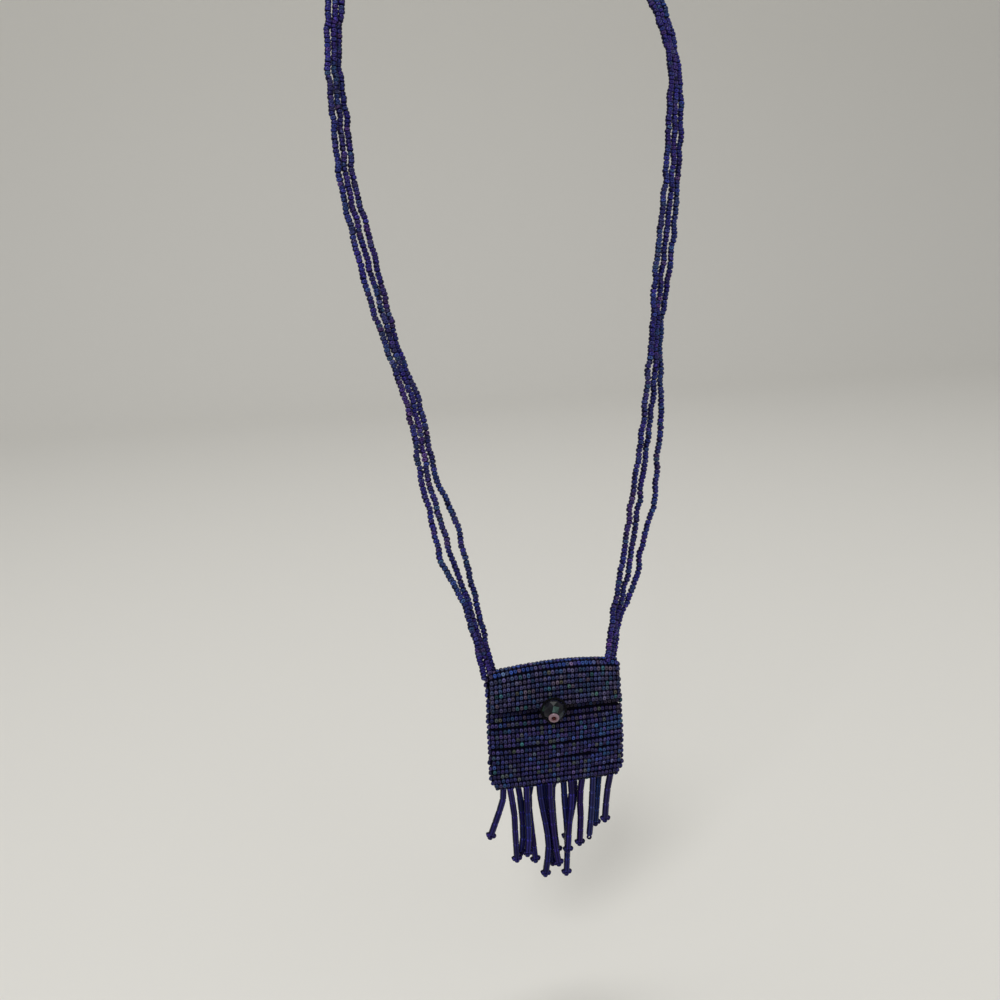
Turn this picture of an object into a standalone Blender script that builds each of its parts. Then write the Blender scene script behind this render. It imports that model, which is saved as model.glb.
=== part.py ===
"""Beaded medicine bag: a woven bead pouch with a fold-over flap, a button, a fringe and a neck strap.

The bag hangs as it is worn. The origin is the middle strand of the strap at the nape of the neck,
+Z is up, the front of the bag faces -Y. Lengths are metres.
"""

import math

import bmesh
import bpy
import numpy as np
from mathutils import Vector

MM = 0.001
GAP = 0.3 * MM  # left between pieces that touch on the real bag

# Seed beads and how closely the thread holds them
BEAD_DIAMETER = 2.1 * MM
COLUMN_PITCH = 1.545 * MM
ROW_PITCH = 2.18 * MM
FLAP_ROW_PITCH = 2.11 * MM  # the flap's rows sit a little closer
GROOVE_DEPTH = 0.55 * MM  # how far the surface sinks between beads
LINING_INSET = 0.2 * MM  # how far the bumps stand proud of the pocket's plain inner face

# The woven strip: one row lies on the fold's crest, the flap comes down in front of it,
# and the pouch rows go down the back, round the foot and up the front to the mouth.
COLUMNS = 33
FLAP_ROWS = 8
MOUTH_INSET = 1.0 * MM  # the least that the mouth lies below the inside of the fold
COARSE_STEP = 3  # columns between lines where the surface is plain or ridged
LINING_COLUMNS = (0, 2, 4, 7, 9, 11)  # the coarse lines that the inner face keeps

# The pouch
POUCH_HEIGHT = 50.2 * MM
FLAP_CLEARANCE = 0.4 * MM
EDGE_OPENING = 0.7 * MM  # the pocket's depth at the sewn sides
MOUTH_OPENING = 2.2 * MM
BELLY_OPENING = 5.0 * MM
FOOT_OPENING = 1.6 * MM
BELLY_RISE = 20.6 * MM  # where it is fullest, above the foot
THROAT_DROP = 4.9 * MM  # where it starts to fill, below the crest
HEEL_RISE = 3.9 * MM  # where it has closed again, above the foot
PILLOW_POWER = 0.7  # how squarely the pocket fills between its sides
CREST_BOW = 1.9 * MM  # the crest's rise from its ends to its middle
FOOT_BOW = 0.6 * MM
CORNER_TUCK = 1.15 * MM  # how far each corner of the foot draws in
TUCK_HEIGHT = 6.0 * MM
SHOULDER_TUCK = 1.2 * MM  # how far the right shoulder draws in
SHOULDER_REACH = 32.0 * MM  # how far down that is felt
RECESS_DEPTH = 0.6 * MM  # the front dips behind the button
RECESS_DROP = 18.5 * MM
RECESS_SPREAD = 3.0 * MM

# Beaded edging that joins front and back at the sides
SEAM_TOP = 2.0 * MM
SEAM_RISE = 2.5 * MM  # where it ends, above the foot
SEAM_RADIUS = 0.95 * MM

# Button, its stopper bead, thread and loop
BUTTON_RADIUS = 4.3 * MM
BUTTON_HALF_DEPTH = 3.4 * MM
BUTTON_X = -3.1 * MM
BUTTON_DROP = 13.7 * MM
BUTTON_TURN = math.radians(12.0)
BUTTON_NOD = math.radians(12.5)
BUTTON_STAND_OFF = 0.9 * MM  # room for the loop behind the button
THREAD_RADIUS = 0.35 * MM
THREAD_HOLE_GAP = 0.3 * MM
STOPPER_RADIUS = 2.15 * MM
STOPPER_BODY = 0.55 * MM
LOOP_THREAD = 0.5 * MM
LOOP_RADIUS = 4.6 * MM
LOOP_SAG = 3.0 * MM  # how far the loop's ring hangs below the button's thread
LOOP_LEG_SPACING = 2.2 * MM
LOOP_ROOT_DROP = 21.5 * MM

# Fringe
BUGLE_LENGTH = 6.0 * MM
BUGLE_RADIUS = 1.0 * MM
STRING_GROOVE = 0.5 * MM
PICOT_RADIUS = 1.0 * MM
PICOT_SPREAD = 1.2 * MM

# Strap
STRAND_DIAMETER = 2.1 * MM
STRAND_POINTS = 70

# The nape, measured from the middle of the bag's crest
NAPE_BEHIND = 122.0 * MM
NAPE_ABOVE = 262.5 * MM

STRIP_WIDTH = COLUMNS * COLUMN_PITCH
BEAD_RADIUS = BEAD_DIAMETER / 2
POCKET_Y = (BEAD_DIAMETER + FLAP_CLEARANCE) / 2  # puts the crest's middle over y = 0 of the bag
BAG_PLACE = Vector((0.0, -NAPE_BEHIND, -NAPE_ABOVE))

ROUTE_UNIT = 1.0 * MM  # the routes below are in these

# How each fringe string hangs: how far it is from the pouch's middle plane, its x at the foot,
# and (x, drop below the foot) down to its tip.
FRINGE_ROUTES = (
    (0.0, -21.2, ((-21.0, 2.0), (-22.7, 8.2), (-27.6, 21.3))),
    (-1.2, -18.9, ((-17.6, 10.8), (-17.5, 18.9), (-17.2, 32.5))),
    (1.2, -15.4, ((-14.5, 6.9), (-13.9, 21.3), (-15.2, 31.5))),
    (-1.2, -12.4, ((-12.4, 7.2), (-12.2, 21.5), (-13.0, 30.7))),
    (1.2, -9.9, ((-11.2, 7.4), (-10.3, 21.9), (-9.2, 35.7))),
    (-2.4, -7.5, ((-7.1, 5.4), (-4.6, 25.1), (-6.3, 40.2))),
    (0.0, -5.2, ((-5.0, 5.7), (-3.1, 25.3), (-2.5, 37.4))),
    (-2.4, -3.4, ((-3.4, 6.0), (-2.0, 25.5), (-0.5, 36.3))),
    (2.4, 0.3, ((-1.5, 6.3), (-0.7, 25.7), (0.2, 33.7))),
    (0.0, 2.7, ((3.0, 9.7), (3.7, 26.5), (2.9, 42.9))),
    (-2.4, 5.0, ((5.2, 7.3), (4.0, 17.9), (3.1, 30.9))),
    (2.4, 7.4, ((7.7, 7.7), (6.0, 17.3), (3.5, 28.3))),
    (0.0, 10.3, ((9.2, 8.0), (9.3, 17.9), (8.6, 30.1))),
    (-1.2, 14.3, ((13.5, 13.6), (12.2, 27.4))),
    (1.2, 17.4, ((16.4, 10.9), (15.6, 23.0))),
    (-1.2, 21.4, ((20.2, 5.2), (19.2, 14.5), (18.9, 20.3))),
)
RING_ENDED = (13,)  # the string that ends in one bead in place of a picot

# Strand routes from the bag's left corner, over the nape, to its right corner,
# from the middle of the bag's crest. The middle strand passes the nape itself.
OUTER_ROUTE = (
    (-27.0, -0.3, -1.4), (-29.7, -1.1, 14.0), (-33.4, 1.3, 29.0), (-39.9, 4.2, 44.0), (-42.2, 7.3, 58.5),
    (-44.7, 10.6, 73.0), (-45.6, 14.1, 87.0), (-47.9, 17.9, 101.0), (-52.6, 22.8, 118.5),
    (-57.2, 28.0, 136.0), (-60.9, 34.4, 156.5), (-63.9, 41.2, 177.5), (-64.4, 48.2, 198.0),
    (-64.4, 55.6, 219.0), (-62.0, 65.2, 240.8), (-58.5, 84.0, 250.3), (-47.5, 103.0, 257.3),
    (-26.6, 119.0, 261.4), (0.0, 124.5, 262.5), (27.6, 119.0, 261.4), (49.6, 103.0, 257.3),
    (61.2, 84.0, 250.3), (65.0, 68.0, 241.3), (69.1, 60.3, 218.5), (67.9, 52.4, 196.0), (63.9, 44.9, 173.5),
    (60.4, 39.0, 155.5), (56.0, 33.3, 137.0), (51.3, 28.0, 119.0), (49.5, 22.9, 101.0),
    (48.4, 19.0, 86.0), (45.6, 15.4, 72.0), (43.4, 11.9, 57.0), (37.9, 8.9, 42.5), (33.9, 6.1, 28.0),
    (26.7, 3.8, 13.5), (24.1, 2.5, 0.5),
)
MIDDLE_ROUTE = (
    (-24.9, 0.0, 0.5), (-27.9, 1.4, 13.0), (-31.2, 3.8, 28.0), (-35.5, 6.6, 43.0), (-38.7, 9.8, 57.5),
    (-41.8, 13.1, 72.0), (-43.0, 16.7, 86.0), (-45.2, 20.4, 100.5), (-50.1, 25.4, 118.0),
    (-53.9, 30.6, 135.5), (-58.1, 37.1, 156.5), (-61.4, 43.9, 177.5), (-61.9, 51.0, 198.5),
    (-62.0, 58.4, 219.5), (-59.5, 66.2, 241.0), (-56.0, 83.0, 250.0), (-45.6, 101.2, 257.0),
    (-25.4, 116.6, 261.2), (0.0, 122.0, 262.5), (26.4, 116.6, 261.2), (47.7, 101.2, 257.0),
    (58.7, 83.0, 250.0), (62.4, 66.2, 240.8), (66.8, 57.9, 218.0), (64.5, 50.0, 195.5), (60.8, 42.6, 173.5),
    (56.8, 36.7, 155.5), (52.5, 31.1, 137.5), (48.9, 25.8, 119.5), (46.4, 20.7, 101.5), (43.3, 16.9, 87.0),
    (40.1, 13.3, 72.5), (36.6, 9.9, 58.0), (33.3, 6.8, 44.0), (29.6, 4.0, 29.0), (24.7, 1.7, 14.5),
    (22.1, 0.0, 1.0),
)
INNER_ROUTE = (
    (-23.3, 2.5, 0.45), (-25.4, 3.8, 11.5), (-27.8, 6.1, 27.0), (-30.4, 8.9, 41.5), (-33.0, 12.1, 56.5),
    (-38.4, 15.6, 71.0), (-40.6, 19.2, 85.5), (-42.8, 23.0, 100.0), (-48.2, 28.0, 117.5),
    (-51.5, 33.2, 135.5), (-54.9, 39.7, 156.5), (-58.8, 46.5, 177.5), (-59.3, 53.6, 198.5),
    (-60.2, 60.9, 220.0), (-57.0, 67.5, 241.2), (-53.5, 82.0, 249.7), (-43.7, 99.4, 256.7),
    (-24.2, 114.2, 261.0), (0.0, 119.5, 262.5), (25.2, 114.2, 261.0), (45.8, 99.4, 256.7),
    (56.2, 82.0, 249.7), (59.7, 64.3, 240.2), (64.5, 55.5, 217.5), (61.3, 47.6, 195.5), (57.3, 40.1, 173.5),
    (53.2, 34.1, 155.5), (49.2, 28.4, 137.5), (46.4, 23.1, 119.5), (42.7, 18.0, 102.0), (39.8, 14.2, 87.5),
    (36.5, 10.6, 73.5), (32.8, 7.2, 59.0), (29.6, 4.1, 45.0), (26.0, 1.3, 30.5), (22.3, -1.1, 15.5),
    (20.1, -2.4, 1.05),
)


def clear_scene():
    """Remove the objects that a new file starts with."""
    for item in list(bpy.data.objects):
        bpy.data.objects.remove(item, do_unlink=True)


def material(name, color, roughness, metallic=0.0):
    """A Principled BSDF with one colour."""
    made = bpy.data.materials.new(name)
    made.use_nodes = True
    shader = made.node_tree.nodes["Principled BSDF"]
    shader.inputs["Base Color"].default_value = (*color, 1.0)
    shader.inputs["Roughness"].default_value = roughness
    shader.inputs["Metallic"].default_value = metallic
    return made


def add_object(name, data, finish):
    """Put mesh or curve data into the scene, carried by the bag's own place."""
    item = bpy.data.objects.new(name, data)
    data.materials.append(finish)
    item.location = BAG_PLACE
    bpy.context.scene.collection.objects.link(item)
    return item


def mesh_object(name, points, faces, finish, smooth=False):
    """A closed mesh with its faces turned outwards."""
    mesh = bpy.data.meshes.new(name)
    work = bmesh.new()
    corners = [work.verts.new(tuple(float(v) for v in p)) for p in points]
    for face in faces:
        work.faces.new([corners[i] for i in face])
    bmesh.ops.recalc_face_normals(work, faces=work.faces)
    work.to_mesh(mesh)
    work.free()
    if smooth:
        mesh.shade_smooth()
    return add_object(name, mesh, finish)


def smooth_step(value):
    """Zero below 0, one above 1, and an even rise between."""
    t = np.clip(value, 0.0, 1.0)
    return t * t * (3.0 - 2.0 * t)


def smooth_curve(points, count):
    """Even points on a Catmull-Rom curve through hand-set points."""
    p = np.array(points, float)
    p = np.vstack([2 * p[0] - p[1], p, 2 * p[-1] - p[-2]])
    fine = []
    for a, b, c, d in zip(p, p[1:], p[2:], p[3:]):
        for t in np.linspace(0.0, 1.0, 12, endpoint=False):
            fine.append(0.5 * (2 * b + (c - a) * t + (2 * a - 5 * b + 4 * c - d) * t**2
                               + (3 * b - a - 3 * c + d) * t**3))
    fine.append(p[-2])
    fine = np.array(fine)
    along = np.concatenate([[0.0], np.cumsum(np.linalg.norm(np.diff(fine, axis=0), axis=1))])
    wanted = np.linspace(0.0, along[-1], count)
    return np.stack([np.interp(wanted, along, fine[:, k]) for k in range(3)], axis=1)


class PouchShape:
    """The woven strip's middle surface, as a section in y and z for each place x across it."""

    def fullness(self, x):
        """How full the pocket is at x: 0 at the sewn sides, 1 in the middle."""
        share = min(1.0, abs(2 * x / STRIP_WIDTH))
        return (1.0 - share * share) ** PILLOW_POWER

    def half_opening(self, x, z):
        """Half the pocket's depth: mouth, belly and foot, blended down the pouch."""
        rise = POUCH_HEIGHT + z
        upper = smooth_step((-z - THROAT_DROP) / (POUCH_HEIGHT - THROAT_DROP - BELLY_RISE))
        lower = smooth_step((BELLY_RISE - rise) / (BELLY_RISE - HEEL_RISE))
        depth = MOUTH_OPENING + (BELLY_OPENING - MOUTH_OPENING) * upper
        depth = depth + (FOOT_OPENING - BELLY_OPENING) * lower
        return (EDGE_OPENING + (depth - EDGE_OPENING) * self.fullness(x)) / 2

    def recess(self, z):
        """How far the front wall dips behind the button."""
        return RECESS_DEPTH * np.exp(-(((z + RECESS_DROP) / RECESS_SPREAD) ** 2))

    def wall_y(self, x, z, wall):
        """Middle of a wall: back, front or flap."""
        half = self.half_opening(x, z)
        if wall == "back":
            return POCKET_Y + half + BEAD_RADIUS
        if wall == "front":
            return POCKET_Y - half - BEAD_RADIUS + self.recess(z) * self.fullness(x)
        return POCKET_Y - half - 3 * BEAD_RADIUS - FLAP_CLEARANCE

    def crest(self, x):
        """Height of the fold's middle line at x."""
        share = 2 * x / STRIP_WIDTH
        return CREST_BOW * (1.0 - share * share) - BEAD_RADIUS

    def section(self, x):
        """Points from the flap's side over the fold, down the back, round the foot and up the front.

        Gives y, z and the distance from the crest, which is negative on the flap's side.
        """
        top = -THROAT_DROP
        fold = (self.wall_y(x, top, "back") - self.wall_y(x, top, "flap")) / 2
        middle = (self.wall_y(x, top, "back") + self.wall_y(x, top, "flap")) / 2
        fold_z = self.crest(x) - fold
        turn = np.linspace(0.0, math.pi / 2, 24)
        foot = self.half_opening(x, -POUCH_HEIGHT) + BEAD_RADIUS
        share = 2 * x / STRIP_WIDTH
        foot_z = -POUCH_HEIGHT - FOOT_BOW * (1.0 - share * share) + BEAD_RADIUS + foot
        down = np.linspace(fold_z, foot_z, 160)[1:-1]
        half_turn = np.linspace(0.0, math.pi, 32)
        back_y = np.concatenate([
            middle + fold * np.sin(turn), self.wall_y(x, down, "back"),
            POCKET_Y + foot * np.cos(half_turn), self.wall_y(x, down[::-1], "front")])
        back_z = np.concatenate([
            fold_z + fold * np.cos(turn), down, foot_z - foot * np.sin(half_turn), down[::-1]])
        flap_y = np.concatenate([middle - fold * np.sin(turn), self.wall_y(x, down, "flap")])
        flap_z = np.concatenate([fold_z + fold * np.cos(turn), down])
        back_s = np.concatenate([[0.0], np.cumsum(np.hypot(np.diff(back_y), np.diff(back_z)))])
        flap_s = -np.concatenate([[0.0], np.cumsum(np.hypot(np.diff(flap_y), np.diff(flap_z)))])
        return (np.concatenate([flap_y[:0:-1], back_y]), np.concatenate([flap_z[:0:-1], back_z]),
                np.concatenate([flap_s[:0:-1], back_s]))

    def points(self, x, distances, lift):
        """Points at distances from the crest, lifted outwards from the middle surface."""
        y, z, s = self.section(x)
        step = ROW_PITCH / 20
        at = np.stack([np.interp(distances, s, y), np.interp(distances, s, z)], axis=1)
        ahead = np.stack([np.interp(distances + step, s, y), np.interp(distances + step, s, z)], axis=1)
        behind = np.stack([np.interp(distances - step, s, y), np.interp(distances - step, s, z)], axis=1)
        run = ahead - behind
        run /= np.linalg.norm(run, axis=1)[:, None]
        outward = np.stack([-run[:, 1], run[:, 0]], axis=1)
        at = at + outward * lift
        return np.stack([x * self.narrowing(at[:, 1], x > 0), at[:, 0], at[:, 1]], axis=1)

    def narrowing(self, z, right):
        """The share of its half width that the pouch keeps at a height, on its right or left."""
        tuck = CORNER_TUCK * smooth_step((TUCK_HEIGHT - POUCH_HEIGHT - z) / TUCK_HEIGHT)
        if right:
            tuck = tuck + SHOULDER_TUCK * smooth_step((z + SHOULDER_REACH) / SHOULDER_REACH)
        return 1.0 - 2 * tuck / STRIP_WIDTH

    def last_row(self):
        """The number of the row at the mouth: as many as fit at the strip's edge."""
        return int((self.section(STRIP_WIDTH / 2)[2][-1] - MOUTH_INSET) / ROW_PITCH - 0.5)


def strip_distance(rows):
    """How far rows lie from the crest row along the strip, negative on the flap."""
    rows = np.array(rows, float)
    return rows * np.where(rows < 0, FLAP_ROW_PITCH, ROW_PITCH)


def row_kind(row, shape):
    """What a row's outer face is: bead by bead, a plain ridge, or plain where the flap hides it."""
    y, z, s = shape.section(0.0)
    place = float(strip_distance(row))
    height = float(np.interp(place, s, z))
    foot = float(s[np.argmin(z)])
    flap_edge = float(np.interp(strip_distance(-FLAP_ROWS - 0.5), s, z))
    if row > 0 and place > foot and height > flap_edge + ROW_PITCH:
        return "plain"
    if 2 * ROW_PITCH < place < foot - 2 * ROW_PITCH:
        return "ridge"
    return "bead"


def woven_strip(shape, finish):
    """The pouch, back and flap as one folded strip, with a bump for each bead that shows."""
    rows = list(range(-FLAP_ROWS, shape.last_row() + 1))
    kinds = [row_kind(row, shape) for row in rows]
    fine = [(c - COLUMNS / 2) * COLUMN_PITCH for c in range(COLUMNS + 1)]
    coarse = fine[::COARSE_STEP]
    edges = strip_distance(np.array(rows + [rows[-1] + 1]) - 0.5)
    middles = strip_distance(rows)
    points, faces = [], []

    def grid(places, distances, lift):
        """Add a grid of points and return their numbers, one list for each distance."""
        columns = [shape.points(x, distances, lift) for x in places]
        first = len(points)
        for j in range(len(distances)):
            points.extend(column[j] for column in columns)
        return [[first + j * len(places) + i for i in range(len(places))] for j in range(len(distances))]

    groove = BEAD_RADIUS - GROOVE_DEPTH
    outer_fine = grid(fine, edges, groove)
    crests_fine = grid([(a + b) / 2 for a, b in zip(fine, fine[1:])], middles, BEAD_RADIUS)
    crests_coarse = grid(coarse, middles, BEAD_RADIUS)
    inner = grid([coarse[k] for k in LINING_COLUMNS], edges, LINING_INSET - BEAD_RADIUS)
    outer_coarse = [line[::COARSE_STEP] for line in outer_fine]
    steps = range(len(coarse) - 1)

    def joined(fine_line, coarse_line):
        """Faces between a line with every column and one with every third."""
        for i in steps:
            span = fine_line[COARSE_STEP * i:COARSE_STEP * (i + 1) + 1]
            faces.append(span + [coarse_line[i + 1], coarse_line[i]])

    def bridged(low, high):
        """Quads between two lines of the same columns."""
        for i in range(len(low) - 1):
            faces.append([low[i], low[i + 1], high[i + 1], high[i]])

    def rimmed(fine_line, lining_line, step):
        """Faces between an outer line and the lining at the strip's ends."""
        for i, (a, b) in enumerate(zip(LINING_COLUMNS, LINING_COLUMNS[1:])):
            faces.append(fine_line[a * step:b * step + 1] + [lining_line[i + 1], lining_line[i]])

    def is_fine(j):
        """Whether the line under row j carries every column."""
        return any(0 <= k < len(rows) and kinds[k] == "bead" for k in (j - 1, j)) or j == 0

    for j, kind in enumerate(kinds):
        low, high = outer_fine[j], outer_fine[j + 1]
        side = [[], []]
        if kind == "bead":
            for i in range(COLUMNS):
                top = crests_fine[j][i]
                for a, b in ((low[i], low[i + 1]), (low[i + 1], high[i + 1]),
                             (high[i + 1], high[i]), (high[i], low[i])):
                    faces.append([a, b, top])
        else:
            line = crests_coarse[j] if kind == "ridge" else None
            if line:
                side = [[line[0]], [line[-1]]]
            for k, far in ((j, j + 1), (j + 1, j)):
                target = line or outer_coarse[far]
                if is_fine(k):
                    joined(outer_fine[k], target)
                elif line:
                    bridged(outer_coarse[k], target)
            if not line and not is_fine(j) and not is_fine(j + 1):
                bridged(outer_coarse[j], outer_coarse[j + 1])
        for end, middle in ((0, side[0]), (-1, side[1])):
            faces.append([low[end]] + middle + [high[end], inner[j + 1][end], inner[j][end]])
        bridged(inner[j], inner[j + 1])
    rimmed(outer_fine[0], inner[0], COARSE_STEP)
    rimmed(outer_coarse[-1], inner[-1], 1)

    used = sorted({i for face in faces for i in face})
    number = {old: new for new, old in enumerate(used)}
    return mesh_object("beaded_pouch", [points[i] for i in used],
                       [[number[i] for i in face] for face in faces], finish)


def ringed_tube(path, radii, sides):
    """Points and faces of a round tube with its own radius at each point of a path."""
    path = np.array(path, float)
    run = np.gradient(path, axis=0)
    run /= np.linalg.norm(run, axis=1)[:, None]
    side = np.cross(run, (0.0, 1.0, 0.0))
    side /= np.linalg.norm(side, axis=1)[:, None]
    front = np.cross(side, run)
    angles = 2 * math.pi * np.arange(sides) / sides
    points = [p + r * (math.cos(a) * u + math.sin(a) * v)
              for p, r, u, v in zip(path, radii, side, front) for a in angles]
    faces = [[j * sides + i, j * sides + (i + 1) % sides, (j + 1) * sides + (i + 1) % sides, (j + 1) * sides + i]
             for j in range(len(path) - 1) for i in range(sides)]
    faces.append(list(range(sides)))
    faces.append([(len(path) - 1) * sides + i for i in range(sides)])
    return points, faces


def along_route(route, distances):
    """Places on a smooth route at distances from its start."""
    fine = smooth_curve(route, 200)
    travelled = np.concatenate([[0.0], np.cumsum(np.linalg.norm(np.diff(fine, axis=0), axis=1))])
    return np.stack([np.interp(distances, travelled, fine[:, k]) for k in range(3)], axis=1), travelled[-1]


def foot_height(x, away):
    """Lowest outer height of the pouch at x, and away from its middle plane."""
    shape = PouchShape()
    share = 2 * x / STRIP_WIDTH
    outer = shape.half_opening(x, -POUCH_HEIGHT) + 2 * BEAD_RADIUS
    lowest = -POUCH_HEIGHT - FOOT_BOW * (1.0 - share * share)
    return lowest + outer - math.sqrt(outer * outer - away * away)


def fringe_string(number, away, foot_x, route, finish):
    """One string of the fringe: tube beads down to a picot of three beads."""
    away, foot_x = away * ROUTE_UNIT, foot_x * ROUTE_UNIT
    top = foot_height(foot_x, abs(away)) - GAP
    start = (foot_x, POCKET_Y + away, top)
    points = [start] + [(x * ROUTE_UNIT, POCKET_Y + away, -POUCH_HEIGHT - drop * ROUTE_UNIT) for x, drop in route]
    length = along_route(points, np.array([0.0]))[1]
    tail = 2 * PICOT_RADIUS if number not in RING_ENDED else 2.4 * PICOT_RADIUS
    tubes = max(1, round((length - tail) / BUGLE_LENGTH))
    tube = (length - tail) / tubes
    taper = 0.12 * tube
    stations, radii = [], []
    for k in range(tubes):
        stations += [k * tube, k * tube + taper, (k + 1) * tube - taper]
        radii += [STRING_GROOVE, BUGLE_RADIUS, BUGLE_RADIUS]
    stations += [length - tail, length - tail / 2, length - 0.15 * tail]
    radii += [STRING_GROOVE, PICOT_RADIUS, STRING_GROOVE]
    path = along_route(points, np.array(stations))[0]
    body = mesh_object(f"fringe_{number + 1:02d}", *ringed_tube(path, radii, 5), finish)
    if number not in RING_ENDED:
        ending = Vector(path[-3])
        run = (Vector(path[-2]) - ending).normalized()
        across = run.cross(Vector((0.0, 1.0, 0.0))).normalized()
        for k, side in enumerate((-1, 1)):
            place = ending + across * side * PICOT_SPREAD + run * 0.1 * PICOT_RADIUS
            join_ball(body, place, PICOT_RADIUS, k)
    return body


def join_ball(body, place, radius, number):
    """Fuse a small round bead to a string with a Boolean union."""
    work = bmesh.new()
    bmesh.ops.create_icosphere(work, subdivisions=1, radius=radius)
    bmesh.ops.translate(work, verts=work.verts, vec=place)
    mesh = bpy.data.meshes.new(f"{body.name}_bead")
    work.to_mesh(mesh)
    work.free()
    cutter = bpy.data.objects.new(f"{body.name}_bead_{number}", mesh)
    cutter.location = body.location
    cutter.hide_render = True
    cutter.display_type = "WIRE"
    bpy.context.scene.collection.objects.link(cutter)
    union = body.modifiers.new("Bead", "BOOLEAN")
    union.operation = "UNION"
    union.object = cutter


def side_seam(name, side, shape, finish):
    """A column of edge beads down one side of the pouch."""
    height = POUCH_HEIGHT - SEAM_RISE - SEAM_TOP
    count = round(height / ROW_PITCH)
    pitch = height / count
    heights = [-SEAM_TOP - 0.5 * k * pitch for k in range(2 * count + 1)]
    radii = [STRING_GROOVE if k % 2 == 0 else SEAM_RADIUS for k in range(2 * count + 1)]
    path = [(side * (STRIP_WIDTH / 2 * float(shape.narrowing(z, side > 0)) + GAP + SEAM_RADIUS), POCKET_Y, z)
            for z in heights]
    return mesh_object(name, *ringed_tube(path, radii, 5), finish)


def closed_ring(name, profile, sides, centre, axis, finish):
    """A closed profile of (radius, distance along the axis) turned round a slanted axis."""
    axis = Vector(axis).normalized()
    u = axis.cross(Vector((0.0, 0.0, 1.0))).normalized()
    v = u.cross(axis)
    points = [Vector(centre) + axis * along + (u * math.cos(a) + v * math.sin(a)) * radius
              for a in (2 * math.pi * k / sides for k in range(sides)) for radius, along in profile]
    n = len(profile)
    faces = [[k * n + i, k * n + (i + 1) % n, ((k + 1) % sides) * n + (i + 1) % n, ((k + 1) % sides) * n + i]
             for k in range(sides) for i in range(n)]
    return mesh_object(name, points, faces, finish, smooth=True)


def button_axis():
    """The direction in which the button's hole looks out: forwards, a little left and down."""
    return Vector((-math.sin(BUTTON_TURN) * math.cos(BUTTON_NOD),
                   -math.cos(BUTTON_TURN) * math.cos(BUTTON_NOD), -math.sin(BUTTON_NOD)))


def button_place(shape):
    """The button's middle, in front of the flap with the loop's thread behind it."""
    flap = float(shape.wall_y(BUTTON_X, -BUTTON_DROP, "flap")) - BEAD_RADIUS
    y = flap - GAP - 2 * LOOP_THREAD - BUTTON_STAND_OFF - BUTTON_HALF_DEPTH * math.cos(BUTTON_NOD)
    return Vector((BUTTON_X, y + LOOP_THREAD, -BUTTON_DROP))


def button_pieces(shape, glass, pink, thread):
    """Button, stopper bead, the thread through them, and the loop that holds the flap."""
    axis, centre = button_axis(), button_place(shape)
    hole = THREAD_RADIUS + THREAD_HOLE_GAP
    steps = [math.radians(a) for a in (-75, -50, -25, 0, 25, 50, 75)]
    edge = math.sqrt(1.0 - (hole / BUTTON_RADIUS) ** 2) * BUTTON_HALF_DEPTH
    outline = [(hole, -edge)]
    outline += [(BUTTON_RADIUS * math.cos(a), BUTTON_HALF_DEPTH * math.sin(a)) for a in steps]
    outline += [(hole, edge)]
    closed_ring("button", outline, 18, centre, axis, glass)

    stopper_centre = centre + axis * (edge + GAP + STOPPER_BODY)
    middle = (STOPPER_RADIUS + hole) / 2
    width = (STOPPER_RADIUS - hole) / 2
    outline = [(middle + width * math.cos(a), STOPPER_BODY * math.sin(a))
               for a in (2 * math.pi * k / 6 for k in range(6))]
    closed_ring("stopper_bead", outline, 12, stopper_centre, axis, pink)

    flap = float(shape.wall_y(BUTTON_X, -BUTTON_DROP, "flap")) - BEAD_RADIUS
    back = centre + axis * ((flap - GAP - THREAD_RADIUS * math.sin(BUTTON_NOD) - centre.y) / axis.y)
    front = stopper_centre + axis * STOPPER_BODY
    thread_rod("button_thread", [back, front], THREAD_RADIUS, thread)

    ring_y = flap - GAP - LOOP_THREAD
    ring_z = back.z - LOOP_SAG
    ring_x = back.x
    leg = LOOP_LEG_SPACING / 2
    root_y = float(shape.wall_y(BUTTON_X, -LOOP_ROOT_DROP, "front")) - BEAD_RADIUS - GAP
    opening = math.asin(leg / LOOP_RADIUS)
    turns = np.linspace(-math.pi / 2 + opening, 1.5 * math.pi - opening, 22)
    ring = [(ring_x + LOOP_RADIUS * math.cos(a), ring_y, ring_z + LOOP_RADIUS * math.sin(a)) for a in turns]
    low_z = -LOOP_ROOT_DROP
    right = [(ring_x + leg, root_y, low_z), (ring_x + leg, (root_y + ring_y) / 2, low_z)]
    left = [(ring_x - leg, (root_y + ring_y) / 2, low_z), (ring_x - leg, root_y, low_z)]
    thread_rod("closure_loop", right + ring + left, LOOP_THREAD, thread)


def thread_rod(name, path, radius, finish, depth=2):
    """A round thread or cord along a path, with closed ends."""
    curve = bpy.data.curves.new(name, "CURVE")
    curve.dimensions = "3D"
    curve.bevel_depth = radius
    curve.bevel_resolution = depth
    curve.use_fill_caps = True
    spline = curve.splines.new("POLY")
    spline.points.add(len(path) - 1)
    for point, place in zip(spline.points, path):
        point.co = (*(float(v) for v in place), 1.0)
    return add_object(name, curve, finish)


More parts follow.
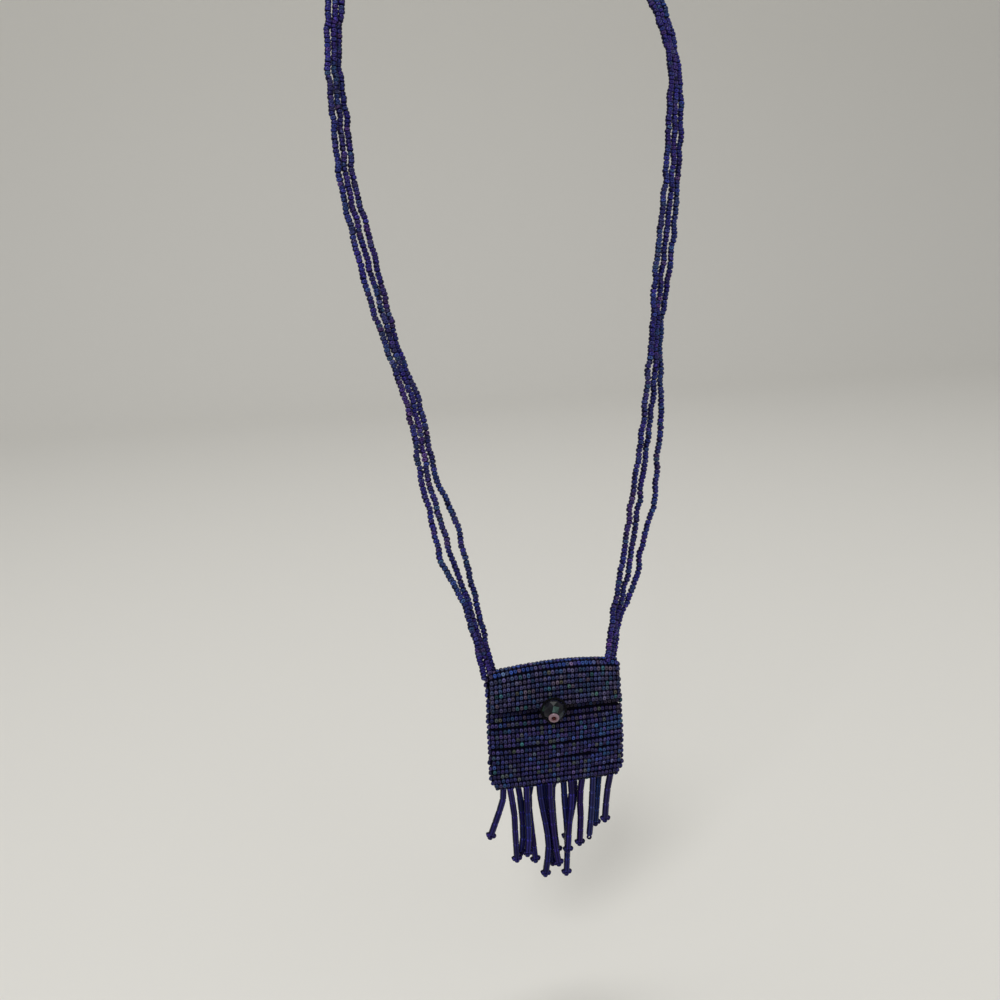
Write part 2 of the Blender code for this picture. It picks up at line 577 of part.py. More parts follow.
def main():
    """Build every piece of the bag."""
    clear_scene()
    weave = material("navy_iris_beads", (0.045, 0.045, 0.21), 0.28)
    strap = material("cobalt_iris_beads", (0.07, 0.05, 0.36), 0.3)
    tubes = material("violet_blue_tubes", (0.06, 0.04, 0.32), 0.25)
    glass = material("smoke_glass", (0.03, 0.035, 0.035), 0.12)
    pink = material("pink_glass", (0.85, 0.35, 0.36), 0.25)
    thread = material("black_thread", (0.01, 0.01, 0.012), 0.8)

    shape = PouchShape()
    woven_strip(shape, weave)
    side_seam("left_side_seam", -1, shape, weave)
    side_seam("right_side_seam", 1, shape, weave)
    for number, (away, foot_x, route) in enumerate(FRINGE_ROUTES):
        fringe_string(number, away, foot_x, route, tubes)
    button_pieces(shape, glass, pink, thread)
    for name, route in (("strap_strand_outer", OUTER_ROUTE), ("strap_strand_middle", MIDDLE_ROUTE),
                        ("strap_strand_inner", INNER_ROUTE)):
        path = smooth_curve([[v * ROUTE_UNIT for v in point] for point in route], STRAND_POINTS)
        thread_rod(name, path, STRAND_DIAMETER / 2, strap)


main()
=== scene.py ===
import logging
import math
from dataclasses import dataclass, field, replace
from enum import Enum

import bpy
import numpy as np
from mathutils import Matrix, Vector


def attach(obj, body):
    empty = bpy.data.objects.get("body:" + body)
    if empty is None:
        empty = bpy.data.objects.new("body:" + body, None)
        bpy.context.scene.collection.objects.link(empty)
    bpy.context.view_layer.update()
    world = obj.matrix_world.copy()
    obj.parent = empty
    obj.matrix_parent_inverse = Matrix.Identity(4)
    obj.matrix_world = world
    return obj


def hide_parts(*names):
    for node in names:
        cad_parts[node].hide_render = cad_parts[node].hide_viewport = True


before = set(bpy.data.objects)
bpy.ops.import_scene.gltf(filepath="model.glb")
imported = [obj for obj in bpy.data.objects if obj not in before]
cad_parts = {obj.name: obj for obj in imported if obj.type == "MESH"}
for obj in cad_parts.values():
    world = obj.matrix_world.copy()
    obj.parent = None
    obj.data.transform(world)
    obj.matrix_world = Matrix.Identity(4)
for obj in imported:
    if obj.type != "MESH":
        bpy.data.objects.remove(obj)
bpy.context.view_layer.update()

LOG = logging.getLogger("medicine_bag")
MM = 0.001
BODY = "root"
TINT = "bead_tint"
LOCAL = "bead_local"  # a corner's place in its own bead: towards the outer face, sideways, and along the hole
CREST_PLACE = np.array([0.0, -122.0, -262.5]) * MM  # the middle of the bag's crest, seen from the nape
FORWARD = np.array([0.0, -1.0, 0.0])
UP = np.array([0.0, 0.0, 1.0])
PLY_DEPTH = 0.16  # how far a thread's two plies bulge, as a share of its radius

Array = np.ndarray


class Strand(Enum):
    """The three strands of the strap, outermost first."""

    OUTER = "outer"
    MIDDLE = "middle"
    INNER = "inner"


class Wall(Enum):
    """The three layers of the closed bag, from the wearer's side forwards."""

    BACK = "back"
    FRONT = "front"
    FLAP = "flap"


def linear(code: str) -> Array:
    """Turn a six-digit sRGB colour into linear red, green and blue.

    Args:
        code: the colour, such as "4a3aa8".

    Returns:
        Three numbers between 0 and 1.
    """
    value = np.array([int(code[k:k + 2], 16) for k in (0, 2, 4)]) / 255.0
    return np.where(value <= 0.04045, value / 12.92, ((value + 0.055) / 1.055) ** 2.4)


def ease(value: Array) -> Array:
    """Rise from 0 to 1 by the cubic 3t^2 - 2t^3, with t held between 0 and 1."""
    t = np.clip(value, 0.0, 1.0)
    return t * t * (3.0 - 2.0 * t)


def unit(vectors: Array) -> Array:
    """Divide each vector of an array by its length."""
    return vectors / np.linalg.norm(vectors, axis=-1, keepdims=True)


def smooth_route(points: Array, count: int) -> Array:
    """Run a Catmull-Rom curve through given points.

    Each span is the cubic between two points whose slope at either one is half the step
    between that point's neighbours. The curve is then sampled at even steps of its length.

    Args:
        points: the points, one row each.
        count: how many even samples to take.

    Returns:
        The samples, one row each.
    """
    p = np.vstack([2 * points[0] - points[1], points, 2 * points[-1] - points[-2]])
    spans = len(points) - 1
    place = np.linspace(0.0, spans, spans * 16 + 1)
    k = np.minimum(place.astype(int), spans - 1)
    t = (place - k)[:, None]
    a, b, c, d = p[k], p[k + 1], p[k + 2], p[k + 3]
    fine = 0.5 * (2 * b + (c - a) * t + (2 * a - 5 * b + 4 * c - d) * t**2 + (3 * b - a - 3 * c + d) * t**3)
    return sample(fine, np.linspace(0.0, run_length(fine), count))


def travelled(path: Array) -> Array:
    """Give the distance from a path's start to each of its points."""
    return np.concatenate([[0.0], np.cumsum(np.linalg.norm(np.diff(path, axis=0), axis=1))])


def run_length(path: Array) -> float:
    """Add up the steps of a path."""
    return float(np.linalg.norm(np.diff(path, axis=0), axis=1).sum())


def sample(path: Array, distances: Array) -> Array:
    """Find the places at given distances along a path.

    Args:
        path: the path's points.
        distances: distances from its start.

    Returns:
        One point for each distance.
    """
    reached = travelled(path)
    return np.stack([np.interp(distances, reached, path[:, k]) for k in range(3)], axis=1)


def ring_faces(count: int, rings: int, sides: int, closed: bool) -> Array:
    """Number the quads of many equal ringed shapes laid one after another in a vertex list.

    Corner (n, j, i) has the number (n * rings + j) * sides + i, and each quad joins
    ring j to ring j + 1 between side i and side i + 1.

    Args:
        count: how many shapes there are.
        rings: rings in each shape.
        sides: corners in each ring.
        closed: whether the last ring joins the first again.

    Returns:
        An array of quads.
    """
    joined = rings if closed else rings - 1
    n, j, i = np.meshgrid(np.arange(count), np.arange(joined), np.arange(sides), indexing="ij")
    j2, i2 = (j + 1) % rings, (i + 1) % sides
    base = n * rings
    quads = np.stack([(base + j) * sides + i, (base + j) * sides + i2,
                      (base + j2) * sides + i2, (base + j2) * sides + i], axis=-1)
    return quads.reshape(-1, 4)


def make_piece(name: str, node: str, slot: str, points: Array, faces: list, material: bpy.types.Material,
               tint: Array | None = None, local: Array | None = None,
               smooth: bool = True) -> bpy.types.Object:
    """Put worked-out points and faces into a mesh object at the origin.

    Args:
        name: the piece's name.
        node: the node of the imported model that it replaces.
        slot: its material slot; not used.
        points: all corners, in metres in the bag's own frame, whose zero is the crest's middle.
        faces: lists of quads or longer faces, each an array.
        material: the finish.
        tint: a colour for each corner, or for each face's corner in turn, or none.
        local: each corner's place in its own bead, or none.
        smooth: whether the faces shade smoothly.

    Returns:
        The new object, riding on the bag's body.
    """
    mesh = bpy.data.meshes.new(name)
    loops = np.concatenate([part.reshape(-1) for part in faces])
    sizes = np.concatenate([np.full(len(part), part.shape[1]) for part in faces])
    mesh.vertices.add(len(points))
    mesh.vertices.foreach_set("co", (points + CREST_PLACE).astype(np.float32).reshape(-1))
    mesh.loops.add(len(loops))
    mesh.loops.foreach_set("vertex_index", loops.astype(np.int32))
    mesh.polygons.add(len(sizes))
    mesh.polygons.foreach_set("loop_start", np.concatenate([[0], np.cumsum(sizes)[:-1]]).astype(np.int32))
    mesh.polygons.foreach_set("use_smooth", np.full(len(sizes), smooth))
    mesh.update(calc_edges=True)
    mesh.validate()
    if tint is not None:
        layer = mesh.attributes.new(TINT, "FLOAT_COLOR", "POINT" if len(tint) == len(points) else "CORNER")
        colors = np.concatenate([tint, np.ones((len(tint), 1))], axis=1)
        layer.data.foreach_set("color", colors.astype(np.float32).reshape(-1))
    if local is not None:
        layer = mesh.attributes.new(LOCAL, "FLOAT_VECTOR", "POINT")
        layer.data.foreach_set("vector", local.astype(np.float32).reshape(-1))
    mesh.materials.append(material)
    piece = bpy.data.objects.new(name, mesh)
    bpy.context.scene.collection.objects.link(piece)
    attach(piece, BODY)
    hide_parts(node)
    LOG.info("%s: %d triangles", name, int((sizes - 2).sum()))
    return piece


@dataclass(frozen=True)
class BeadCut:
    """A bead's half section, from one end to its middle, in shares of its radius and half its length."""

    radius: float
    half_length: float
    profile: tuple[tuple[float, float], ...]
    sides: int = 10

    @property
    def outline(self) -> Array:
        """The closed outline: the profile and its mirror image, with a point at the middle kept once."""
        return np.array([*self.profile, *((r, -h) for r, h in reversed(self.profile) if h)])

    def beads(self, centres: Array, axes: Array, outward: Array, stretch: Array,
              colors: Array) -> tuple[Array, Array, Array, Array]:
        """Turn the outline round every bead's axis.

        A corner lies at centre + axis * length * h + (u cos a + v sin a) * radius * r, where
        (r, h) runs round the outline, a round the bead from its outer face, and u and v are
        square to the axis. The corner's place in its bead is (r cos a, r sin a, h).

        Args:
            centres: the beads' middles.
            axes: the directions of their holes.
            outward: the directions their outer faces look in.
            stretch: each bead's own size, near 1.
            colors: one colour for each bead.

        Returns:
            The corners, the quads, and the corners' colours and places.
        """
        outline = self.outline
        angle = 2 * math.pi * np.arange(self.sides) / self.sides
        u = unit(outward - axes * (outward * axes).sum(axis=1, keepdims=True))
        v = np.cross(axes, u)
        ring = (u[:, None, None, :] * np.cos(angle)[None, None, :, None]
                + v[:, None, None, :] * np.sin(angle)[None, None, :, None])
        out = outline[:, 0][None, :, None, None] * self.radius * stretch[:, None, None, None]
        along = outline[:, 1][None, :, None, None] * self.half_length
        corners = centres[:, None, None, :] + axes[:, None, None, :] * along + ring * out
        faces = ring_faces(len(centres), len(outline), self.sides, True)
        shape = corners.shape
        local = np.stack([np.outer(outline[:, 0], np.cos(angle)), np.outer(outline[:, 0], np.sin(angle)),
                          np.outer(outline[:, 1], np.ones(self.sides))], axis=-1)
        looks = (np.broadcast_to(values, shape).reshape(-1, 3)
                 for values in (colors[:, None, None, :], local[None]))
        return corners.reshape(-1, 3), faces[:, ::-1], *looks


SEED = BeadCut(1.05 * MM, 0.735 * MM, ((0.42, -0.80), (0.62, -0.99), (0.86, -0.84), (1.0, -0.36)))
STRUNG = BeadCut(1.24 * MM, 0.79 * MM, (
    (0.34, -0.80), (0.55, -1.0), (0.80, -0.82), (0.96, -0.42), (1.0, 0.0)))
EDGE = BeadCut(1.05 * MM, 0.735 * MM, ((0.04, -0.62), (0.40, -0.74), *SEED.profile[1:]))
TUBE = BeadCut(1.28 * MM, 1.0, ((0.45, -1.0), (0.84, -1.0), (0.98, -0.93), (1.0, -0.8)))


class Palette:
    """Weighted glass colours that a run of beads draws from."""

    def __init__(self, *choices: tuple[str, float]) -> None:
        """Keep the colours and their weights.

        Args:
            choices: pairs of an sRGB colour and how common it is.
        """
        self.colors = np.array([linear(code) for code, weight in choices])
        weights = np.array([weight for code, weight in choices])
        self.weights = weights / weights.sum()

    def draw(self, rng: np.random.Generator, count: int, light: float = 0.34) -> Array:
        """Draw colours, each a mix of two of the palette's at its own lightness.

        Args:
            rng: the seeded source of chance.
            count: how many colours to draw.
            light: how far lightness spreads.

        Returns:
            One colour for each bead.
        """
        first = self.colors[rng.choice(len(self.colors), count, p=self.weights)]
        second = self.colors[rng.choice(len(self.colors), count, p=self.weights)]
        share = rng.uniform(0.0, 0.45, (count, 1))
        return (first * (1 - share) + second * share) * np.exp(rng.normal(0.0, light, (count, 1)))


# the crest's colours are brighter, partly as painted light where it faces up; the flap's are greyer, partly
# as painted sheen
LIT_CREST_GLASS = Palette(("3a5fc4", 4), ("4468b8", 3), ("5b4fae", 3), ("7fa0d8", 0.8), ("8f78a8", 0.8),
                      ("5f6f9c", 2))
FLAP_GLASS = Palette(("454a80", 5), ("5a5486", 4), ("3d5c8c", 3), ("6b6488", 2), ("3f7d86", 1),
                     ("7a6a80", 0.8), ("77745f", 0.4), ("5f9488", 0.3))
BODY_GLASS = Palette(("403c80", 5), ("3c4892", 4), ("534688", 4), ("3e64a0", 1.6), ("5c5c8e", 2),
                     ("6f5f92", 1), ("6d7a6a", 0.3), ("4c8c90", 0.25))
STRAP_GLASS = Palette(("40349c", 5), ("343596", 4), ("3a50a4", 3), ("525489", 2), ("5a3f98", 2),
                      ("4d7aa8", 0.9), ("7c5490", 0.7), ("3c6f8c", 0.6))
FRINGE_GLASS = Palette(("342c90", 5), ("3c3696", 4), ("2f3d90", 2), ("402a84", 2))
RECESS_GOLD = linear("8c7a5a")
# colours of painted glints, laid onto some beads of the front
SKY_GLINT_BLUE = linear("3f86cc")
GLINT_GOLD = linear("858c62")
LOOK_VALUES = ("gain", "ring_place", "ring_width", "ring_stretch", "painted_top_highlight", "roughness", "streak_size",
               "streak_depth")


@dataclass(frozen=True)
class CoatedGlass:
    """Dark glass whose iridescent coat lies in its tints: a light ring round a dark core, partly the bead's
    own colour and partly a painted highlight.
    """

    name: str
    core: str
    gain: float = 0.45
    ring_place: float = 0.52
    ring_width: float = 0.24
    ring_stretch: float = 0.85
    # painted highlight: how much lighter the ring is on the bead's upper half
    painted_top_highlight: float = 0.35
    roughness: float = 0.16
    specular: float = 0.09
    streak_size: float = 900.0
    streak_depth: float = 0.35

    def material(self) -> bpy.types.Material:
        """Build the material from the bead's colour and its corners' places."""
        made, tree, shader = blank_material(self.name, self.specular)
        look = tree.nodes.new("ShaderNodeGroup")
        look.node_tree = bead_look()
        for word in LOOK_VALUES:
            look.inputs[word].default_value = getattr(self, word)
        look.inputs["core"].default_value = (*linear(self.core), 1.0)
        tree.links.new(attribute(tree, TINT)["Color"], look.inputs["tint"])
        tree.links.new(attribute(tree, LOCAL)["Vector"], look.inputs["local"])
        tree.links.new(look.outputs["Color"], shader.inputs["Base Color"])
        tree.links.new(look.outputs["Roughness"], shader.inputs["Roughness"])
        return made


@dataclass(frozen=True)
class FacetGlass:
    """Polished glass whose parts each have a tint of their own, painted glints and painted shade among them.
    """

    name: str
    roughness: float = 0.08
    specular: float = 0.12

    def material(self) -> bpy.types.Material:
        """Build the material from the facets' tints."""
        made, tree, shader = blank_material(self.name, self.specular)
        tree.links.new(attribute(tree, TINT)["Color"], shader.inputs["Base Color"])
        shader.inputs["Roughness"].default_value = self.roughness
        return made


@dataclass(frozen=True)
class PlainFinish:
    """One colour with a plain gloss."""

    name: str
    color: str
    roughness: float
    specular: float = 0.5

    def material(self) -> bpy.types.Material:
        """Build the material from its constant values."""
        made, _, shader = blank_material(self.name, self.specular)
        shader.inputs["Base Color"].default_value = (*linear(self.color), 1.0)
        shader.inputs["Roughness"].default_value = self.roughness
        return made


def blank_material(name: str, specular: float) -> tuple[bpy.types.Material, bpy.types.NodeTree,
                                                        bpy.types.Node]:
    """Start a material that has one Principled BSDF.

    Args:
        name: the material's name.
        specular: how strongly it mirrors.

    Returns:
        The material, its node tree and the shader.
    """
    made = bpy.data.materials.new(name)
    made.use_nodes = True
    shader = made.node_tree.nodes["Principled BSDF"]
    shader.inputs["Specular IOR Level"].default_value = specular
    return made, made.node_tree, shader


def attribute(tree: bpy.types.NodeTree, name: str) -> bpy.types.NodeOutputs:
    """Add a node that reads one of the mesh's attributes and return its outputs."""
    node = tree.nodes.new("ShaderNodeAttribute")
    node.attribute_name = name
    return node.outputs


def reckon(tree: bpy.types.NodeTree, operation: str,
           *values: bpy.types.NodeSocket | float) -> bpy.types.NodeSocket:
    """Add one Math node to a tree.

    Args:
        tree: where to add it.
        operation: what it does.
        values: its inputs in turn, each a socket to link from or a constant.

    Returns:
        The node's output.
    """
    node = tree.nodes.new("ShaderNodeMath")
    node.operation = operation
    for slot, value in enumerate(values):
        if isinstance(value, float):
            node.inputs[slot].default_value = value
        else:
            tree.links.new(value, node.inputs[slot])
    return node.outputs[0]


def bead_look() -> bpy.types.NodeTree:
    """Give the node group that colours a coated bead, made once.

    With (f, s, h) the corner's place in the bead, q is the length of (s, h * ring_stretch). The
    ring is exp(-((q - ring_place) / ring_width)^2) * (1 - k * s), where k is the painted top
    highlight, and it fades out where f is below zero. The ring is partly the glass's own colour
    round the dark thread in its hole and partly a painted highlight, and the factor on s paints
    the bead's upper half lighter, as if lit from above. The colour runs from core to tint * gain
    with the ring, and fine noise in the object's space moves the ring's strength and the roughness.

    Returns:
        The node group.
    """
    name = "bead_look"
    if name in bpy.data.node_groups:
        return bpy.data.node_groups[name]
    tree = bpy.data.node_groups.new(name, "ShaderNodeTree")
    sockets = {"tint": "Color", "core": "Color", "local": "Vector"}
    for word, kind in (sockets | dict.fromkeys(LOOK_VALUES, "Float")).items():
        tree.interface.new_socket(word, in_out="INPUT", socket_type=f"NodeSocket{kind}")
    tree.interface.new_socket("Color", in_out="OUTPUT", socket_type="NodeSocketColor")
    tree.interface.new_socket("Roughness", in_out="OUTPUT", socket_type="NodeSocketFloat")
    nodes, links = tree.nodes, tree.links
    given = nodes.new("NodeGroupInput").outputs
    result = nodes.new("NodeGroupOutput")
    axes = nodes.new("ShaderNodeSeparateXYZ")
    links.new(given["local"], axes.inputs[0])
    outward, sideways, along = axes.outputs
    along = reckon(tree, "MULTIPLY", along, given["ring_stretch"])
    squares = reckon(tree, "ADD", reckon(tree, "MULTIPLY", along, along),
                     reckon(tree, "MULTIPLY", sideways, sideways))
    off = reckon(tree, "SUBTRACT", reckon(tree, "SQRT", squares), given["ring_place"])
    off = reckon(tree, "DIVIDE", off, given["ring_width"])
    ring = reckon(tree, "EXPONENT", reckon(tree, "MULTIPLY", reckon(tree, "MULTIPLY", off, off), -1.0))
    shown = nodes.new("ShaderNodeMapRange")
    shown.interpolation_type = "SMOOTHSTEP"
    shown.inputs["From Min"].default_value = -0.25
    shown.inputs["From Max"].default_value = 0.35
    links.new(outward, shown.inputs["Value"])
    noise = nodes.new("ShaderNodeTexNoise")
    noise.inputs["Detail"].default_value = 2.0
    links.new(nodes.new("ShaderNodeTexCoord").outputs["Object"], noise.inputs["Vector"])
    links.new(given["streak_size"], noise.inputs["Scale"])
    centred = reckon(tree, "SUBTRACT", noise.outputs["Fac"], 0.5)
    varied = reckon(tree, "MULTIPLY_ADD", reckon(tree, "MULTIPLY", centred, given["streak_depth"]), 3.0, 1.0)
    # painted top highlight: the ring is stronger on the bead's upper half, as if lit from above
    upper = reckon(tree, "SUBTRACT", 1.0, reckon(tree, "MULTIPLY", sideways, given["painted_top_highlight"]))
    strength = reckon(tree, "MULTIPLY", ring, upper)
    for part in (shown.outputs["Result"], varied):
        strength = reckon(tree, "MULTIPLY", strength, part)
    bright = nodes.new("ShaderNodeVectorMath")
    bright.operation = "SCALE"
    links.new(given["tint"], bright.inputs[0])
    links.new(given["gain"], bright.inputs["Scale"])
    mix = nodes.new("ShaderNodeMix")
    mix.data_type = "RGBA"
    for place, source in ((0, strength), (6, given["core"]), (7, bright.outputs[0])):
        links.new(source, mix.inputs[place])
    links.new(mix.outputs[2], result.inputs["Color"])
    rough = reckon(tree, "MULTIPLY_ADD", centred, 0.5, 1.0)
    links.new(reckon(tree, "MULTIPLY", rough, given["roughness"]), result.inputs["Roughness"])
    return tree


@dataclass(frozen=True)
class Ripple:
    """A pulled thread line across the front, where the rows sink and part.

    It runs straight from (x_from, z_from) to (x_to, z_to) and fades out past both ends.
    """

    x_from: float
    z_from: float
    x_to: float
    z_to: float
    sink: float
    parting: float
    reach: float = 1.6 * MM
    fade: float = 4.0 * MM

    def moves(self, x: Array, z: Array) -> tuple[Array, Array]:
        """Work out how far beads sink and slide at the line.

        The sink is a bell of the distance from the line. The slide points away from the line
        and dies out over two reaches.

        Args:
            x: the beads' places across.
            z: the beads' heights.

        Returns:
            The sink and the slide along z.
        """
        line = self.z_from + (self.z_to - self.z_from) * (x - self.x_from) / (self.x_to - self.x_from)
        strong = ease((x - self.x_from + self.fade) / self.fade)
        strong = strong * ease((self.x_to + self.fade - x) / self.fade)
        off = (z - line) / self.reach
        sink = self.sink * strong * np.exp(-(off**2))
        slide = self.parting / 2 * strong * np.tanh(off * 3.0) * np.exp(-(np.abs(off) / 2) ** 2)
        return sink, slide


@dataclass(frozen=True)
class Patch:
    """A part of the front where beads more often take a painted sky-blue glint."""

    x: float
    z: float
    half_width: float
    half_height: float
    most: float

    def chance(self, x: Array, z: Array) -> Array:
        """Give a bead's chance of that colour, a bell round the middle of the patch."""
        across, down = (x - self.x) / self.half_width, (z - self.z) / self.half_height
        return self.most * np.exp(-across**2 - down**2)


@dataclass(frozen=True)
class Colouring:
    """How the woven beads are coloured, from one part of the bag to the next, painted light and shade
    included.
    """

    gold_low: float = -23.0 * MM
    gold_share: float = 0.18
    gold_gain: float = 0.4
    gold_reach: float = 26 * MM
    gold_mix: tuple[float, float] = (0.6, 0.3)
    # painted shade under the flap: front beads above this height are darkened by this share
    flap_shade_low: float = -22.0 * MM
    flap_shade_light: float = 0.75
    shade_drop: float = 16.8 * MM
    shade_spread: float = 1.1 * MM
    shade_depth: float = 0.8
    # patches of painted sky-blue glints on the right of the front
    sky: tuple[Patch, ...] = (Patch(22 * MM, -26 * MM, 6 * MM, 5 * MM, 0.55),
                              Patch(17 * MM, -37 * MM, 5 * MM, 3 * MM, 0.4))
    sky_glint_share: float = 0.4
    glint_least: float = 0.02
    glint_gain: float = 0.07
    glint_top: float = 33 * MM
    glint_reach: float = 14 * MM
    glint_x: float = 2 * MM
    glint_spread: float = 12 * MM
    glint_share: float = 0.5

    def colors(self, rng: np.random.Generator, points: Array, rows: Array, last_back_row: int) -> Array:
        """Choose each bead's colour from its part of the bag.

        The crest is brightest, partly as painted light where it faces up, the flap greyer, partly as
        painted sheen, and the two rows under it have gold lights. The front is darkened under the
        flap as painted shade, and the pouch is blue-violet with patches of painted sky-blue glints and
        a few painted green-gold glints.

        Args:
            rng: the seeded source of chance.
            points: bead middles by row and column.
            rows: the rows' numbers.
            last_back_row: the last row that isn't on the front.

        Returns:
            One colour for each bead, by row and column.
        """
        shape = points.shape[:2]
        crest, flap, body = (glass.draw(rng, shape[0] * shape[1]).reshape(*shape, 3)
                             for glass in (LIT_CREST_GLASS, FLAP_GLASS, BODY_GLASS))
        x, z = points[..., 0], points[..., 2]
        row = rows[:, None, None]
        made = np.where(row < -1, flap, np.where(row > 0, body, crest))
        front = rows[:, None] > last_back_row
        chance = rng.uniform(0.0, 1.0, shape)
        under = front & (z > self.gold_low)
        under &= chance < self.gold_share + self.gold_gain * ease(x / self.gold_reach)
        kept, gold = self.gold_mix
        made = np.where(under[..., None], made * kept + RECESS_GOLD * gold, made)
        # painted shade: the front's beads just under the flap are darkened
        made = np.where((front & (z > self.flap_shade_low))[..., None], made * self.flap_shade_light, made)
        shaded = np.exp(-(((z + self.shade_drop) / self.shade_spread) ** 2))
        made = np.where(front[..., None], made * (1.0 - self.shade_depth * shaded)[..., None], made)
        # painted sky-blue glints, in patches
        sky = front & np.any([chance < patch.chance(x, z) for patch in self.sky], axis=0)
        made = np.where(sky[..., None], made * (1.0 - self.sky_glint_share) + SKY_GLINT_BLUE * self.sky_glint_share, made)
        # painted green-gold glints on a few beads, most often low on the front
        most = self.glint_gain * ease((-z - self.glint_top) / self.glint_reach)
        most = self.glint_least + most * np.exp(-((x - self.glint_x) / self.glint_spread) ** 2)
        glints = front & (rng.uniform(0.0, 1.0, shape) < most)
        glinting = made * (1.0 - self.glint_share) + GLINT_GOLD * self.glint_share
        return np.where(glints[..., None], glinting, made)


@dataclass
class WovenPouch:
    """The woven strip: flap, fold, back, foot and front, with its edging and its threads."""

    columns: int = 33
    flap_rows: int = 8
    pouch_rows: int = 43
    last_fold_row: int = 2
    last_back_row: int = 21
    column_pitch: float = 1.545 * MM
    row_pitch: float = 2.18 * MM
    flap_row_pitch: float = 2.11 * MM
    bead_radius: float = 1.05 * MM
    height: float = 50.2 * MM
    flap_clearance: float = 0.4 * MM
    edge_opening: float = 0.7 * MM
    mouth_opening: float = 2.2 * MM
    belly_opening: float = 5.0 * MM
    foot_opening: float = 1.6 * MM
    belly_rise: float = 20.6 * MM
    throat_drop: float = 4.9 * MM
    heel_rise: float = 3.9 * MM
    pillow_power: float = 0.7
    crest_bow: float = 1.9 * MM
    foot_bow: float = 0.6 * MM
    corner_tuck: float = 1.15 * MM
    tuck_height: float = 6.0 * MM
    shoulder_tuck: float = 1.2 * MM
    shoulder_reach: float = 32.0 * MM
    recess_depth: float = 0.6 * MM
    recess_drop: float = 18.5 * MM
    recess_spread: float = 3.0 * MM
    flap_gather: float = 0.1
    foot_fade: float = 6.0 * MM
    row_droop: float = 0.5 * MM
    seam_top: float = 2.0 * MM
    seam_rise: float = 2.5 * MM
    seam_out: float = 0.35 * MM
    seam_forward: float = 0.7 * MM
    seam_axis: tuple[float, float, float] = (0.9, 0.75, 0.2)
    seam_facing: tuple[float, float, float] = (0.5, -1.0, 0.1)
    seam_wobble: float = 0.12 * MM
    seam_tilt: float = 0.22
    wobble: float = 0.045 * MM
    tilt: float = 0.07
    size_spread: float = 0.025
    thread_half: float = 0.12 * MM
    thread_share: float = 0.99
    thread_past: float = 0.3
    thread_step: float = 0.5
    seed: int = 11
    ripples: tuple[Ripple, ...] = tuple(Ripple(*(value * MM for value in row)) for row in (
        (-26, -16.2, -3, -17.6, 0.9, 0.8), (-3, -17.6, 22, -16.6, 0.9, 0.8),
        (-26, -20.4, 26, -18.6, 0.55, 0.7), (-26, -23.3, -3, -21.8, 0.55, 0.7),
        (1, -21.5, 20, -21.3, 0.5, 0.6), (-22, -30.4, -9, -28.7, 0.25, 0.25),
        (-26, -32.6, -8, -31.2, 0.6, 0.7), (-1, -31.1, 26, -31.0, 0.5, 0.6),
        (-1, -38.6, 13, -37.0, 0.6, 0.7), (13, -37.0, 26, -34.2, 0.5, 0.6),
        (16, -45.1, 26, -44.7, 0.5, 0.6)))
    glass: CoatedGlass = CoatedGlass("navy_iris_glass", core="07071a")
    edge_glass: CoatedGlass = CoatedGlass("cobalt_edge_glass", core="090924")
    thread: PlainFinish = PlainFinish("navy_weaving_thread", "06060e", 0.9, specular=0.05)
    colouring: Colouring = Colouring()

    @property
    def width(self) -> float:
        """The strip's full width."""
        return self.columns * self.column_pitch

    @property
    def pocket_y(self) -> float:
        """Where the pocket's middle plane lies, with the closed flap counted in."""
        return (2 * self.bead_radius + self.flap_clearance) / 2

    def arch(self, x: float) -> float:
        """Fall from 1 at the strip's middle to 0 at its edges, by 1 - share^2."""
        share = min(1.0, abs(2 * x / self.width))
        return 1.0 - share * share

    def half_opening(self, x: float, z: Array) -> Array:
        """Work out half the pocket's depth.

        Down the middle it eases from the mouth's depth to the belly's and then to the foot's.
        Across, it falls to the sewn edge's depth by a power of the arch.

        Args:
            x: the place across.
            z: heights.

        Returns:
            Half depths.
        """
        rise = self.height + z
        upper = ease((-z - self.throat_drop) / (self.height - self.throat_drop - self.belly_rise))
        lower = ease((self.belly_rise - rise) / (self.belly_rise - self.heel_rise))
        depth = self.mouth_opening + (self.belly_opening - self.mouth_opening) * upper
        depth = depth + (self.foot_opening - self.belly_opening) * lower
        return (self.edge_opening + (depth - self.edge_opening) * self.arch(x) ** self.pillow_power) / 2

    def wall_y(self, x: float, z: Array, wall: Wall) -> Array:
        """Find the middle of a wall's beads.

        It lies half the opening and a bead's radius from the pocket's plane, and the flap two more
        radii and its clearance further out. The front dips by a bell of the height, just under
        the flap's lower edge.

        Args:
            x: the place across.
            z: heights.
            wall: which layer.

        Returns:
            Places along y.
        """
        half = self.half_opening(x, z)
        if wall is Wall.BACK:
            return self.pocket_y + half + self.bead_radius
        if wall is Wall.FLAP:
            return self.pocket_y - half - 3 * self.bead_radius - self.flap_clearance
        dip = self.recess_depth * np.exp(-(((z + self.recess_drop) / self.recess_spread) ** 2))
        return self.pocket_y - half - self.bead_radius + dip * self.arch(x) ** self.pillow_power

